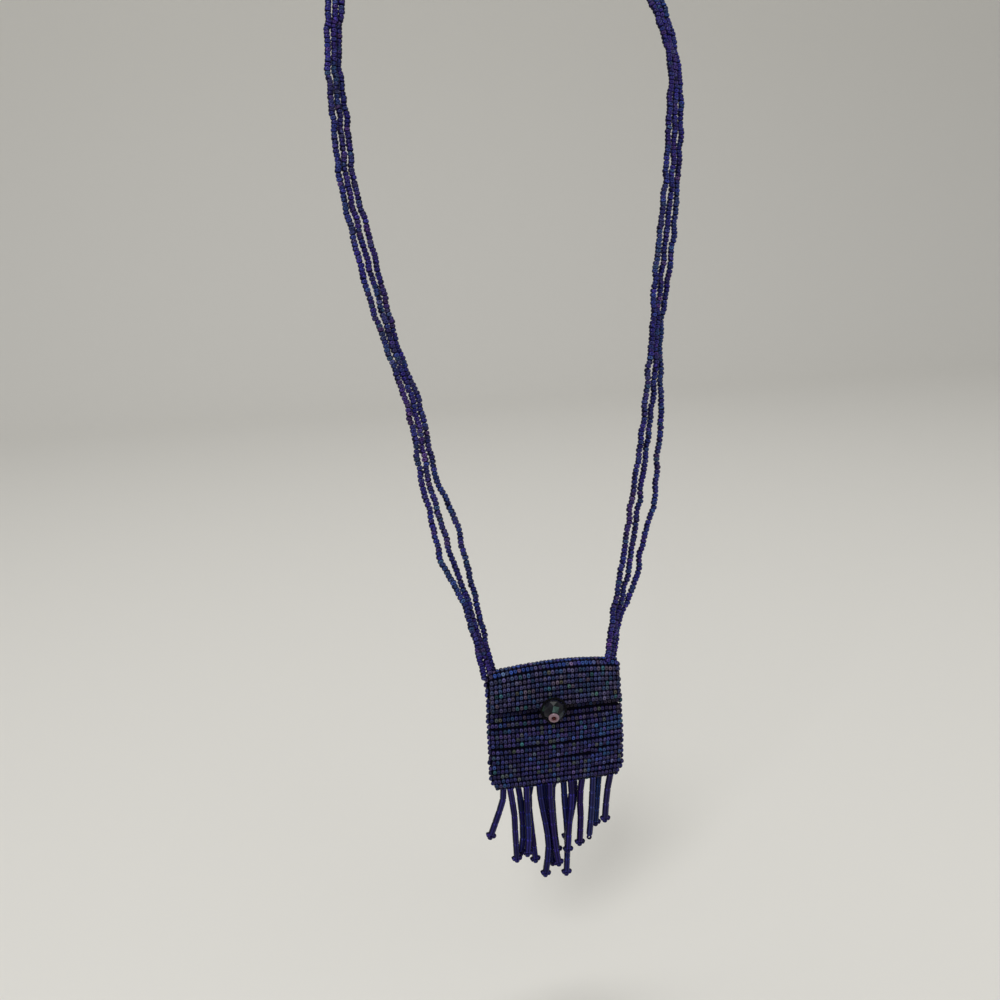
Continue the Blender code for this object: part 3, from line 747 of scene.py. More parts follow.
    def section(self, x: float) -> Array:
        """Lay out the strip's middle line at one place across.

        It is a quarter circle and a straight run down for the flap, and for the pouch a quarter
        circle, a run down the back, a half circle at the foot and a run up the front.

        Args:
            x: the place across.

        Returns:
            Rows of y, z and the distance from the crest, negative on the flap.
        """
        throat = np.array(-self.throat_drop)
        back, flap = (float(self.wall_y(x, throat, wall)) for wall in (Wall.BACK, Wall.FLAP))
        fold, middle = (back - flap) / 2, (back + flap) / 2
        fold_z = self.crest_bow * self.arch(x) - self.bead_radius - fold
        foot = float(self.half_opening(x, np.array(-self.height))) + self.bead_radius
        foot_z = -self.height - self.foot_bow * self.arch(x) + self.bead_radius + foot
        turn = np.linspace(0.0, math.pi / 2, 24)
        half_turn = np.linspace(0.0, math.pi, 32)
        down = np.linspace(fold_z, foot_z, 160)[1:-1]
        pouch = np.stack([
            np.concatenate([middle + fold * np.sin(turn), self.wall_y(x, down, Wall.BACK),
                            self.pocket_y + foot * np.cos(half_turn),
                            self.wall_y(x, down[::-1], Wall.FRONT)]),
            np.concatenate([fold_z + fold * np.cos(turn), down, foot_z - foot * np.sin(half_turn),
                            down[::-1]])])
        flap_line = np.stack([np.concatenate([middle - fold * np.sin(turn), self.wall_y(x, down, Wall.FLAP)]),
                              np.concatenate([fold_z + fold * np.cos(turn), down])])
        before, after = (np.concatenate([[0.0], np.cumsum(np.hypot(*np.diff(line, axis=1)))])
                         for line in (flap_line, pouch))
        return np.concatenate([np.vstack([flap_line, -before])[:, :0:-1], np.vstack([pouch, after])], axis=1)

    def surface(self, places: Array, distances: Array, lift: float = 0.0) -> tuple[Array, Array]:
        """Work out the strip's surface on a grid of places across and distances from the crest.

        Args:
            places: places across.
            distances: distances from the crest down the strip's middle column.
            lift: how far outside the beads' middles.

        Returns:
            Points and outward directions, by row and column.
        """
        step = self.row_pitch / 20
        points, outward = [], []
        middle = self.section(0.0)
        for x in places:
            y, z, s = self.section(x)
            reached = self.levelled(distances, middle, (y, z, s), 2 * x / self.width)
            at = np.stack([np.interp(reached, s, y), np.interp(reached, s, z)], axis=1)
            run = unit(np.stack([np.interp(reached + step, s, line) - np.interp(reached - step, s, line)
                                 for line in (y, z)], axis=1))
            out = np.stack([-run[:, 1], run[:, 0]], axis=1)
            at = at + out * lift
            narrow = self.narrowing(at[:, 1], x > 0)
            points.append(np.stack([x * narrow, at[:, 0], at[:, 1]], axis=1))
            outward.append(np.stack([np.zeros(len(out)), out[:, 0], out[:, 1]], axis=1))
        return np.stack(points, axis=1), np.stack(outward, axis=1)

    def levelled(self, distances: Array, middle: Array, own: tuple, share: float) -> Array:
        """Turn distances on the middle column into those where another column's rows lie.

        On the flap, distances shrink towards the sides by a share that grows with the square of
        the place across. Down the back, they shrink with the column's own length. Up the
        front, each row keeps the middle column's height, less a small droop that grows with the
        square of the share, and near the foot it follows the foot's own curve.

        Args:
            distances: distances from the crest on the middle column.
            middle: the middle column's section.
            own: the other column's section.
            share: where that column is, -1 to 1 across.

        Returns:
            Distances on the other column.
        """
        low, own_low = int(np.argmin(middle[1])), int(np.argmin(own[1]))
        gathered = 1.0 - self.flap_gather * share**2
        back = distances * np.where(distances > 0, own[2][own_low] / middle[2][low], gathered)
        height = np.interp(distances, middle[2][low:], middle[1][low:])
        near = np.exp(-(height - middle[1][low]) / self.foot_fade)
        level = height + (own[1][own_low] - middle[1][low]) * near
        level = level - self.row_droop * share * share * (1.0 - near)
        front = np.interp(level, own[1][own_low:], own[2][own_low:])
        return np.where(distances > middle[2][low], front, back)

    def row_distances(self, rows: Array) -> Array:
        """Give the rows' distances from the crest row, the flap's rows sitting a little closer."""
        return rows * np.where(rows < 0, self.flap_row_pitch, self.row_pitch)

    def narrowing(self, z: Array, right: bool) -> Array:
        """Work out the share of its half width that the pouch keeps at each height.

        Both corners of the foot draw in, and on the right the shoulder does too.

        Args:
            z: heights.
            right: whether it is the right half.

        Returns:
            Shares near 1.
        """
        tuck = self.corner_tuck * ease((self.tuck_height - self.height - z) / self.tuck_height)
        if right:
            tuck = tuck + self.shoulder_tuck * ease((z + self.shoulder_reach) / self.shoulder_reach)
        return 1.0 - 2 * tuck / self.width

    def foot_height(self, x: float, away: float) -> float:
        """Find the pouch's lowest outer height at a place.

        Args:
            x: the place across.
            away: distance from the pocket's middle plane.

        Returns:
            A height on the foot's outer circle.
        """
        outer = float(self.half_opening(x, np.array(-self.height))) + 2 * self.bead_radius
        lowest = -self.height - self.foot_bow * self.arch(x)
        return lowest + outer - math.sqrt(outer * outer - away * away)

    def rippled(self, points: Array, outward: Array, rows: Array) -> Array:
        """Sink and part the front's beads along each ripple.

        Args:
            points: bead middles by row and column.
            outward: outward directions.
            rows: the rows' numbers.

        Returns:
            The moved middles.
        """
        front = (rows > self.last_back_row)[:, None]
        moved = points.copy()
        for ripple in self.ripples:
            sink, slide = ripple.moves(points[..., 0], points[..., 2])
            moved -= outward * (sink * front)[..., None]
            moved[..., 2] += slide * front
        return moved

    def build(self) -> None:
        """Make the beads of the flap, the front and the back, the edging and the threads."""
        rng = np.random.default_rng(self.seed)
        glass = self.glass.material()
        rows = np.arange(-self.flap_rows, self.pouch_rows + 1)
        places = (np.arange(self.columns) - (self.columns - 1) / 2) * self.column_pitch
        points, outward = self.surface(places, self.row_distances(rows))
        points = self.rippled(points, outward, rows)
        axes = unit(np.gradient(points, axis=1))
        points = points + rng.normal(0.0, self.wobble, points.shape)
        axes = unit(axes + rng.normal(0.0, self.tilt, axes.shape))
        colors = self.colouring.colors(rng, points, rows, self.last_back_row)
        stretch = 1.0 + rng.normal(0.0, self.size_spread, points.shape[:2])
        fold, front = rows <= self.last_fold_row, rows > self.last_back_row
        for name, chosen in (("flap_beads", fold), ("back_beads", ~fold & ~front), ("front_beads", front)):
            place = [values[chosen].reshape(-1, 3) for values in (points, axes, outward)]
            points_of, quads, *looks = SEED.beads(*place, stretch[chosen].reshape(-1),
                                                  colors[chosen].reshape(-1, 3))
            make_piece(name, "beaded_pouch", "navy_iris_beads", points_of, [quads], glass, *looks)
        self.threads()
        self.edging(rng)

    def threads(self) -> None:
        """Lay the weaving thread as one thin closed sheet through the middle of the beads."""
        past = self.thread_past
        rows = np.arange(-self.flap_rows - past, self.pouch_rows + past, self.thread_step)
        places = np.linspace(-0.5, 0.5, self.columns) * self.width * self.thread_share
        points, outward = self.surface(places, self.row_distances(rows))
        points = self.rippled(points, outward, rows)
        n, m = points.shape[:2]
        both = np.concatenate([points + outward * self.thread_half, points - outward * self.thread_half])
        j, i = np.meshgrid(np.arange(n - 1), np.arange(m - 1), indexing="ij")
        top = np.stack([j * m + i, (j + 1) * m + i, (j + 1) * m + i + 1, j * m + i + 1], axis=-1)
        top = top.reshape(-1, 4)
        under = top[:, ::-1] + n * m
        border = np.concatenate([np.arange(m), np.arange(1, n) * m + m - 1,
                                 (n - 1) * m + np.arange(m - 2, -1, -1), np.arange(n - 2, 0, -1) * m])
        following = np.roll(border, -1)
        rim = np.stack([border, following, following + n * m, border + n * m], axis=-1)
        make_piece("weaving_thread", "beaded_pouch", "black_thread", both.reshape(-1, 3), [top, under, rim],
                   self.thread.material())

    def edging(self, rng: np.random.Generator) -> None:
        """Sew one bead outside each row at both sides, turned so that it looks outwards.

        Args:
            rng: the seeded source of chance.
        """
        glass = self.edge_glass.material()
        span = self.height - self.seam_rise - self.seam_top
        count = round(span / self.row_pitch)
        heights = -self.seam_top - (np.arange(count) + 0.5) * span / count
        lean, face = np.array(self.seam_axis), np.array(self.seam_facing)
        for side, word in ((-1, "left"), (1, "right")):
            outwards = np.array([side, 1.0, 1.0])
            out = self.width / 2 * self.narrowing(heights, side > 0) + self.seam_out
            depths = np.full(count, self.pocket_y - self.seam_forward)
            centres = np.stack([side * out, depths, heights], axis=1)
            centres += rng.normal(0.0, self.seam_wobble, centres.shape)
            axes = unit(lean * outwards + rng.normal(0.0, self.seam_tilt, (count, 3)))
            outward = np.broadcast_to(face * outwards, centres.shape)
            corners, quads, *looks = EDGE.beads(centres, axes, outward, np.full(count, 1.0),
                                                BODY_GLASS.draw(rng, count))
            make_piece(f"{word}_edge_beads", f"{word}_side_seam", "navy_iris_beads", corners, [quads], glass,
                       *looks)


@dataclass
class Fringe:
    """Sixteen strings of tube beads, each with a picot of three seed beads at its tip."""

    pouch: WovenPouch
    tube_length: float = 6.0 * MM
    tube_gap: float = 0.12 * MM
    picot_radius: float = 1.0 * MM
    picot_spread: float = 1.2 * MM
    picot_lean: float = 0.6
    tip_drop: float = 1.25
    side_drop: float = 0.25
    tail: float = 2.0
    ring_tail: float = 2.4
    ring_drop: float = 1.1
    ring_axis: tuple[float, float, float] = (0.1, -1.0, 0.3)
    root_depth: float = 0.8 * MM
    samples: int = 200
    light: float = 0.28
    picot_light: float = 0.3
    size_spread: float = 0.02
    cast_share: float = 0.6
    ring_ended: int = 13
    seed: int = 23
    # the tubes' ring lies as two lengthwise streaks, partly the glass's own colour and partly painted
    # highlight
    glass: CoatedGlass = CoatedGlass("violet_blue_tube_glass", core="090728", gain=0.33, ring_stretch=0.0,
                                     ring_place=0.42, painted_top_highlight=0.0, streak_size=1400.0, streak_depth=0.4)
    routes: tuple = (
        (0.0, -21.2, ((-21.0, 2.0), (-22.7, 8.2), (-27.6, 21.3))),
        (-1.2, -18.9, ((-17.6, 10.8), (-17.5, 18.9), (-17.2, 32.5))),
        (1.2, -15.4, ((-14.5, 6.9), (-13.9, 21.3), (-15.2, 31.5))),
        (-1.2, -12.4, ((-12.4, 7.2), (-12.2, 21.5), (-13.0, 30.7))),
        (1.2, -9.9, ((-11.2, 7.4), (-10.3, 21.9), (-9.2, 35.7))),
        (-2.4, -7.5, ((-7.1, 5.4), (-4.6, 25.1), (-6.3, 40.2))),
        (0.0, -5.2, ((-5.0, 5.7), (-3.1, 25.3), (-2.5, 37.4))),
        (-2.4, -3.4, ((-3.4, 6.0), (-2.0, 25.5), (-0.5, 36.3))),
        (2.4, 0.3, ((-1.5, 6.3), (-0.7, 25.7), (0.2, 33.7))),
        (0.0, 2.7, ((3.0, 9.7), (3.7, 26.5), (2.9, 42.9))),
        (-2.4, 5.0, ((5.2, 7.3), (4.0, 17.9), (3.1, 30.9))),
        (2.4, 7.4, ((7.7, 7.7), (6.0, 17.3), (3.5, 28.3))),
        (0.0, 10.3, ((9.2, 8.0), (9.3, 17.9), (8.6, 30.1))),
        (-1.2, 14.3, ((13.5, 13.6), (12.2, 27.4))),
        (1.2, 17.4, ((16.4, 10.9), (15.6, 23.0))),
        (-1.2, 21.4, ((20.2, 5.2), (19.2, 14.5), (18.9, 20.3))),
    )
    casts: dict = field(default_factory=lambda: {
        0: "45409c", 1: "3c3080", 5: "272f88", 6: "24398c", 7: "3c2a86", 8: "2a3a92", 9: "2f449c",
        12: "4c2a80", 13: "46528e", 14: "2f5cac", 15: "4a4488"})
    # painted glints: the tubes' ends are lighter at the joints
    painted_joint_glint: tuple[float, ...] = (1.0, 2.6, 2.2, 1.0, 1.0, 2.2, 2.6, 1.0)

    def line(self, away: float, foot_x: float, route: tuple) -> Array:
        """Run one string's line from the pouch's foot to its tip.

        Args:
            away: distance from the pocket's middle plane, in millimetres.
            foot_x: the place across where it starts, in millimetres.
            route: pairs of x and drop below the foot, in millimetres.

        Returns:
            Even points along the string.
        """
        y = self.pouch.pocket_y + away * MM
        top = self.pouch.foot_height(foot_x * MM, abs(away) * MM) + self.root_depth
        points = [(foot_x * MM, y, top)] + [(x * MM, y, -self.pouch.height - drop * MM) for x, drop in route]
        return smooth_route(np.array(points), self.samples)

    def build(self) -> None:
        """Make each string's tubes and its picot."""
        rng = np.random.default_rng(self.seed)
        glass = self.glass.material()
        for number, (away, foot_x, route) in enumerate(self.routes):
            self.string(rng, glass, number, self.line(away, foot_x, route))

    def string(self, rng: np.random.Generator, glass: bpy.types.Material, number: int, path: Array) -> None:
        """Make one string.

        Tube k is a straight bead between the path's places at k and k + 1 tube lengths, and the
        picot's beads lie at the path's end and to its two sides.

        Args:
            rng: the seeded source of chance.
            glass: the finish.
            number: which string it is.
            path: its line.
        """
        ringed = number == self.ring_ended
        tail = (self.ring_tail if ringed else self.tail) * self.picot_radius
        length = run_length(path)
        tubes = max(1, round((length - tail) / self.tube_length))
        stops = sample(path, np.linspace(0.0, length - tail, tubes + 1))
        spans = np.diff(stops, axis=0)
        axes = unit(spans)
        halves = np.linalg.norm(spans, axis=1) / 2 - self.tube_gap / 2
        parts = []
        colors = FRINGE_GLASS.draw(rng, tubes, self.light)
        if number in self.casts:
            colors = colors * (1.0 - self.cast_share) + linear(self.casts[number]) * self.cast_share
        for k in range(tubes):
            cut = replace(TUBE, half_length=float(halves[k]))
            middle = (stops[k] + stops[k + 1])[None] / 2
            stretch = np.array([1.0 + rng.normal(0.0, self.size_spread)])
            corners, quads, tint, local = cut.beads(middle, axes[k:k + 1], FORWARD[None], stretch,
                                                    colors[k:k + 1])
            # painted joint glints lighten the rings at each tube's ends
            parts.append((corners, quads, tint * np.repeat(self.painted_joint_glint, cut.sides)[:, None], local))
        end, run = stops[-1], axes[-1]
        side = unit(np.cross(run, -FORWARD))
        if ringed:
            centres = (end + run * self.ring_drop * self.picot_radius)[None]
            turned = unit(np.array([self.ring_axis]))
        else:
            low, beside = (run * self.picot_radius * drop for drop in (self.tip_drop, self.side_drop))
            spread, lean = side * self.picot_spread, self.picot_lean * run
            centres = end + np.stack([low, beside + spread, beside - spread])
            turned = unit(np.stack([run, side + lean, side - lean]))
        facing = np.repeat((UP if ringed else FORWARD)[None], len(centres), axis=0)
        parts.append(SEED.beads(centres, turned, facing, np.full(len(centres), 1.0),
                                FRINGE_GLASS.draw(rng, len(centres), self.picot_light)))
        points, quads, tint, local = merged(parts)
        make_piece(f"fringe_string_{number + 1:02d}", f"fringe_{number + 1:02d}", "violet_blue_tubes",
                   points, [quads], glass, tint, local)


def merged(parts: list[tuple[Array, Array, Array, Array]]) -> tuple[Array, Array, Array, Array]:
    """Join several sets of points, quads, tints and places into one.

    Args:
        parts: the sets.

    Returns:
        All points, all quads with their numbers moved on, all tints and all places.
    """
    points, quads, tints, places = zip(*parts)
    starts = np.cumsum([0] + [len(some) for some in points])
    moved = [some + start for some, start in zip(quads, starts)]
    return np.concatenate(points), np.concatenate(moved), np.concatenate(tints), np.concatenate(places)


def thread_tube(path: Array, radius: float, sides: int, twist: float = 0.0) -> tuple[Array, list]:
    """Carry a circle along a path and close both ends.

    The circle's side direction is square to the path and to a fixed helper direction, so it
    doesn't turn. With a twist, two bulges wind round the tube, as in two-ply thread.

    Args:
        path: the thread's line.
        radius: its radius.
        sides: corners round it.
        twist: turns of the ply for each point of the path.

    Returns:
        Corners and faces.
    """
    run = unit(np.gradient(path, axis=0))
    helper = np.zeros(3)
    helper[np.argmin(np.abs(run).max(axis=0))] = 1.0
    u = unit(np.cross(run, helper))
    v = np.cross(run, u)
    angle = 2 * math.pi * np.arange(sides) / sides
    ply = np.ones((len(path), sides))
    if twist:
        wound = 2 * math.pi * twist * np.arange(len(path))[:, None]
        ply = 1.0 + PLY_DEPTH * np.cos(2 * (angle[None, :] - wound))
    size = (ply * radius)[..., None]
    ring = u[:, None] * np.cos(angle)[None, :, None] + v[:, None] * np.sin(angle)[None, :, None]
    corners = path[:, None] + size * ring
    walls = ring_faces(1, len(path), sides, False)
    caps = np.stack([np.arange(sides)[::-1], (len(path) - 1) * sides + np.arange(sides)])
    return corners.reshape(-1, 3), [walls, caps]


STRAND_ROUTES = {
    Strand.OUTER: (
        (-27.0, -0.3, -1.4), (-29.7, -1.1, 14.0), (-33.4, 1.3, 29.0), (-39.9, 4.2, 44.0),
        (-42.2, 7.3, 58.5), (-44.7, 10.6, 73.0), (-45.6, 14.1, 87.0), (-47.9, 17.9, 101.0),
        (-52.6, 22.8, 118.5), (-57.2, 28.0, 136.0), (-60.9, 34.4, 156.5), (-63.9, 41.2, 177.5),
        (-64.4, 48.2, 198.0), (-64.4, 55.6, 219.0), (-62.0, 65.2, 240.8), (-58.5, 84.0, 250.3),
        (-47.5, 103.0, 257.3), (-26.6, 119.0, 261.4), (0.0, 124.5, 262.5), (27.6, 119.0, 261.4),
        (49.6, 103.0, 257.3), (61.2, 84.0, 250.3), (65.0, 68.0, 241.3), (69.1, 60.3, 218.5),
        (67.9, 52.4, 196.0), (63.9, 44.9, 173.5), (60.4, 39.0, 155.5), (56.0, 33.3, 137.0),
        (51.3, 28.0, 119.0), (49.5, 22.9, 101.0), (48.4, 19.0, 86.0), (45.6, 15.4, 72.0),
        (43.4, 11.9, 57.0), (37.9, 8.9, 42.5), (33.9, 6.1, 28.0), (26.7, 3.8, 13.5), (24.1, 2.5, 0.5)),
    Strand.MIDDLE: (
        (-24.9, 0.0, 0.5), (-27.9, 1.4, 13.0), (-31.2, 3.8, 28.0), (-35.5, 6.6, 43.0), (-38.7, 9.8, 57.5),
        (-41.8, 13.1, 72.0), (-43.0, 16.7, 86.0), (-45.2, 20.4, 100.5), (-50.1, 25.4, 118.0),
        (-53.9, 30.6, 135.5), (-58.1, 37.1, 156.5), (-61.4, 43.9, 177.5), (-61.9, 51.0, 198.5),
        (-62.0, 58.4, 219.5), (-59.5, 66.2, 241.0), (-56.0, 83.0, 250.0), (-45.6, 101.2, 257.0),
        (-25.4, 116.6, 261.2), (0.0, 122.0, 262.5), (26.4, 116.6, 261.2), (47.7, 101.2, 257.0),
        (58.7, 83.0, 250.0), (62.4, 66.2, 240.8), (66.8, 57.9, 218.0), (64.5, 50.0, 195.5),
        (60.8, 42.6, 173.5), (56.8, 36.7, 155.5), (52.5, 31.1, 137.5), (48.9, 25.8, 119.5),
        (46.4, 20.7, 101.5), (43.3, 16.9, 87.0), (40.1, 13.3, 72.5), (36.6, 9.9, 58.0), (33.3, 6.8, 44.0),
        (29.6, 4.0, 29.0), (24.7, 1.7, 14.5), (22.1, 0.0, 1.0)),
    Strand.INNER: (
        (-23.3, 2.5, 0.45), (-25.4, 3.8, 11.5), (-27.8, 6.1, 27.0), (-30.4, 8.9, 41.5),
        (-33.0, 12.1, 56.5), (-38.4, 15.6, 71.0), (-40.6, 19.2, 85.5), (-42.8, 23.0, 100.0),
        (-48.2, 28.0, 117.5), (-51.5, 33.2, 135.5), (-54.9, 39.7, 156.5), (-58.8, 46.5, 177.5),
        (-59.3, 53.6, 198.5), (-60.2, 60.9, 220.0), (-57.0, 67.5, 241.2), (-53.5, 82.0, 249.7),
        (-43.7, 99.4, 256.7), (-24.2, 114.2, 261.0), (0.0, 119.5, 262.5), (25.2, 114.2, 261.0),
        (45.8, 99.4, 256.7), (56.2, 82.0, 249.7), (59.7, 64.3, 240.2), (64.5, 55.5, 217.5),
        (61.3, 47.6, 195.5), (57.3, 40.1, 173.5), (53.2, 34.1, 155.5), (49.2, 28.4, 137.5),
        (46.4, 23.1, 119.5), (42.7, 18.0, 102.0), (39.8, 14.2, 87.5), (36.5, 10.6, 73.5),
        (32.8, 7.2, 59.0), (29.6, 4.1, 45.0), (26.0, 1.3, 30.5), (22.3, -1.1, 15.5), (20.1, -2.4, 1.05)),
}


@dataclass
class Strap:
    """Three strands of strung beads from the bag's left corner, over the nape, to its right one."""

    diameter: float = 2.1 * MM
    pitch: float = 1.52 * MM
    samples: int = 600
    thread_radius: float = 0.5 * MM
    thread_tint: str = "0a0a1c"
    root_depth: float = 1.2 * MM
    waver: float = 0.32 * MM
    waver_length: float = 13.0 * MM
    waver_fade: float = 12.0 * MM
    overtone: tuple[float, float, float] = (0.6, 1.73, 1.0)  # its share, its rate and where it starts
    deep_wave: tuple[float, float] = (1.31, 2.0)  # its rate and where it starts
    facing: tuple[float, float, float] = (0.0, -1.0, 0.3)
    facing_spread: float = 0.3
    size_spread: float = 0.03
    drift_light: float = 0.2
    thread_sides: int = 8
    wobble: float = 0.08 * MM
    tilt: float = 0.12
    drift_share: float = 0.4
    drift_beads: int = 11
    seed: int = 5
    glass: CoatedGlass = CoatedGlass("cobalt_iris_glass", core="0a082c", gain=0.5)
    routes: dict = field(default_factory=lambda: STRAND_ROUTES)

    def strung_line(self, path: Array) -> Array:
        """Run a strand's beads on into the crest at both ends and let them waver.

        The line moves sideways and in depth by sines of the distance along it, which fade to
        nothing at both ends.

        Args:
            path: the strand's route.

        Returns:
            The line that the beads follow.
        """
        first, last = (end + unit(end - inner) * self.root_depth
                       for end, inner in ((path[0], path[2]), (path[-1], path[-3])))
        moved = np.vstack([first, path, last])
        reached = travelled(moved)
        fade = ease(reached / self.waver_fade) * ease((reached[-1] - reached) / self.waver_fade)
        turns = 2 * math.pi * reached / self.waver_length
        share, rate, start = self.overtone
        deep_rate, deep_start = self.deep_wave
        wave = np.sin(turns) + share * np.sin(rate * turns + start)
        moved[:, 0] += self.waver * fade * wave / (1.0 + share)
        moved[:, 1] += self.waver * fade * np.sin(deep_rate * turns + deep_start)
        return moved

    def build(self) -> None:
        rng = np.random.default_rng(self.seed)
        glass = self.glass.material()
        for strand in Strand:
            path = smooth_route(np.array(self.routes[strand]) * MM, self.samples)
            strung = self.strung_line(path)
            total = run_length(strung)
            count = int(total / self.pitch)
            middles = (np.arange(count) + 0.5) * total / count
            centres = sample(strung, middles)
            axes = unit(sample(strung, middles + self.pitch / 2) - sample(strung, middles - self.pitch / 2))
            centres = centres + rng.normal(0.0, self.wobble, centres.shape)
            axes = unit(axes + rng.normal(0.0, self.tilt, axes.shape))
            outward = unit(np.array(self.facing) + rng.normal(0.0, self.facing_spread, (count, 3)))
            stretch = 1.0 + rng.normal(0.0, self.size_spread, count)
            inner, walls = thread_tube(strung, self.thread_radius, self.thread_sides)
            dark = np.broadcast_to(linear(self.thread_tint), inner.shape)
            drift = STRAP_GLASS.draw(rng, count // self.drift_beads + 1, self.drift_light)
            drift = np.repeat(drift, self.drift_beads, axis=0)
            colors = STRAP_GLASS.draw(rng, count) * (1 - self.drift_share) + drift[:count] * self.drift_share
            points, quads, tint, local = merged([STRUNG.beads(centres, axes, outward, stretch, colors),
                                                 (inner, walls[0], dark, inner * 0.0)])
            piece = make_piece(f"strap_beads_{strand.value}", f"strap_strand_{strand.value}",
                               "cobalt_iris_beads", points, [quads], glass, tint, local)


@dataclass
class Closure:
    """The dark glass button, its pink stopper bead, the thread through them and the loop behind."""

    pouch: WovenPouch
    radius: float = 4.3 * MM
    half_depth: float = 3.4 * MM
    x: float = -3.1 * MM
    drop: float = 13.7 * MM
    turn: float = math.radians(12.0)
    nod: float = math.radians(12.5)
    stand_off: float = 0.9 * MM
    thread_radius: float = 0.35 * MM
    gap: float = 0.3 * MM
    stopper_radius: float = 2.0 * MM
    stopper_body: float = 0.55 * MM
    loop_thread: float = 0.5 * MM
    loop_radius: float = 4.6 * MM
    loop_sag: float = 3.0 * MM
    leg_spacing: float = 2.2 * MM
    root_drop: float = 21.5 * MM
    loop_share: float = 0.95
    loop_stops: int = 22
    loop_samples: int = 160
    loop_twist: float = 0.09
    core_samples: int = 40
    core_twist: float = 0.08
    core_past: float = 1.9
    thread_sides: int = 12
    facets: int = 10
    facet_slants: tuple[float, ...] = (-66.0, -33.0, 0.0, 33.0, 66.0)
    stopper_stops: int = 14
    stopper_sides: int = 32
    stopper_blend: float = 1.6
    seed: int = 31
    dark_tints: tuple[str, ...] = ("0d0d12", "111117", "16151c", "0f1214", "19191f")
    # painted glints: a mint spot near the top, a green one at the left rim and a lighter grey facet low on
    # the right
    painted_glints: tuple = (
        ((0.12, 0.5, 0.6), 0.17, "4f6f66"),
        ((-0.8, 0.3, 0.25), 0.16, "33493a"),
        ((0.75, -0.4, 0.35), 0.4, "454c54"),
    )
    smoke: FacetGlass = FacetGlass("smoke_facet_glass")
    pink: FacetGlass = FacetGlass("pink_ring_glass", 0.2, 0.4)
    # painted shade: the stopper's colour at its hole
    pink_hole_shade: str = "4c2226"
    pink_face: str = "7c656e"
    cord: PlainFinish = PlainFinish("black_loop_thread", "08080a", 0.75, specular=0.08)
    core: PlainFinish = PlainFinish("dark_red_core_thread", "4a1614", 0.7, specular=0.1)

    @property
    def axis(self) -> Array:
        """The direction in which the button's hole looks out."""
        return np.array([-math.sin(self.turn) * math.cos(self.nod),
                         -math.cos(self.turn) * math.cos(self.nod), -math.sin(self.nod)])

    @property
    def across(self) -> tuple[Array, Array]:
        """Two directions square to the axis: a level one and one that looks up."""
        level = unit(np.cross(self.axis, UP))
        return level, np.cross(level, self.axis)

    @property
    def hole(self) -> float:
        """The radius of the holes in the button and the stopper bead."""
        return self.thread_radius + self.gap

    @property
    def edge(self) -> float:
        """How far from the button's middle, along its axis, its surface meets the hole."""
        return math.sqrt(1.0 - (self.hole / self.radius) ** 2) * self.half_depth

    @property
    def flap_face(self) -> float:
        """The y of the flap's outer face behind the button."""
        return float(self.pouch.wall_y(self.x, np.array(-self.drop), Wall.FLAP)) - self.pouch.bead_radius

    @property
    def centre(self) -> Array:
        """The button's middle."""
        y = self.flap_face - self.gap - self.loop_thread - self.stand_off
        return np.array([self.x, y - self.half_depth * math.cos(self.nod), -self.drop])

    def turned(self, outline: Array, sides: int, offset: Array) -> Array:
        """Turn an outline of (radius, distance along the axis) round the button's axis.

        Args:
            outline: the outline's points.
            sides: corners in each ring.
            offset: each ring's own turn, in sides.

        Returns:
            Corners, ring by ring.
        """
        u, v = self.across
        angle = 2 * math.pi * (np.arange(sides)[None, :] + offset[:, None]) / sides
        ring = u * np.cos(angle)[..., None] + v * np.sin(angle)[..., None]
        return self.centre + self.axis * outline[:, 1][:, None, None] + ring * outline[:, 0][:, None, None]

    def build(self) -> None:
        """Make the four pieces."""
        self.button()
        self.stopper()
        self.button_thread()
        self.loop()

    def button(self) -> None:
        """Cut the button in flat facets: rings at even slants, every second one turned by half a side."""
        slants = np.radians(self.facet_slants)
        body = np.stack([self.radius * np.cos(slants), self.half_depth * np.sin(slants)], axis=1)
        outline = np.concatenate([[[self.hole, -self.edge]], body, [[self.hole, self.edge]]])
        offset = np.array([0.0, 0.0, 0.5, 0.0, 0.5, 0.0, 0.0])
        corners = self.turned(outline, self.facets, offset)
        rings, sides = corners.shape[:2]
        number = np.arange(rings * sides).reshape(rings, sides)
        faces = []
        for j in range(rings - 1):
            low, high = number[j], number[j + 1]
            low2, high2 = np.roll(low, -1), np.roll(high, -1)
            shift = offset[j + 1] - offset[j]
            if shift > 0:
                cuts = ((low, low2, high), (low2, high2, high))
            elif shift < 0:
                cuts = ((low, high2, high), (low, low2, high2))
            else:
                cuts = ((low, low2, high2, high),)
            faces += [np.stack(cut, axis=1) for cut in cuts]
        first, last = number[0], number[-1]
        faces.append(np.stack([last, np.roll(last, -1), np.roll(first, -1), first], axis=1))
        points = corners.reshape(-1, 3)
        make_piece("smoke_button", "button", "smoke_glass", points, faces, self.smoke.material(),
                   self.facet_tints(points, faces), smooth=False)

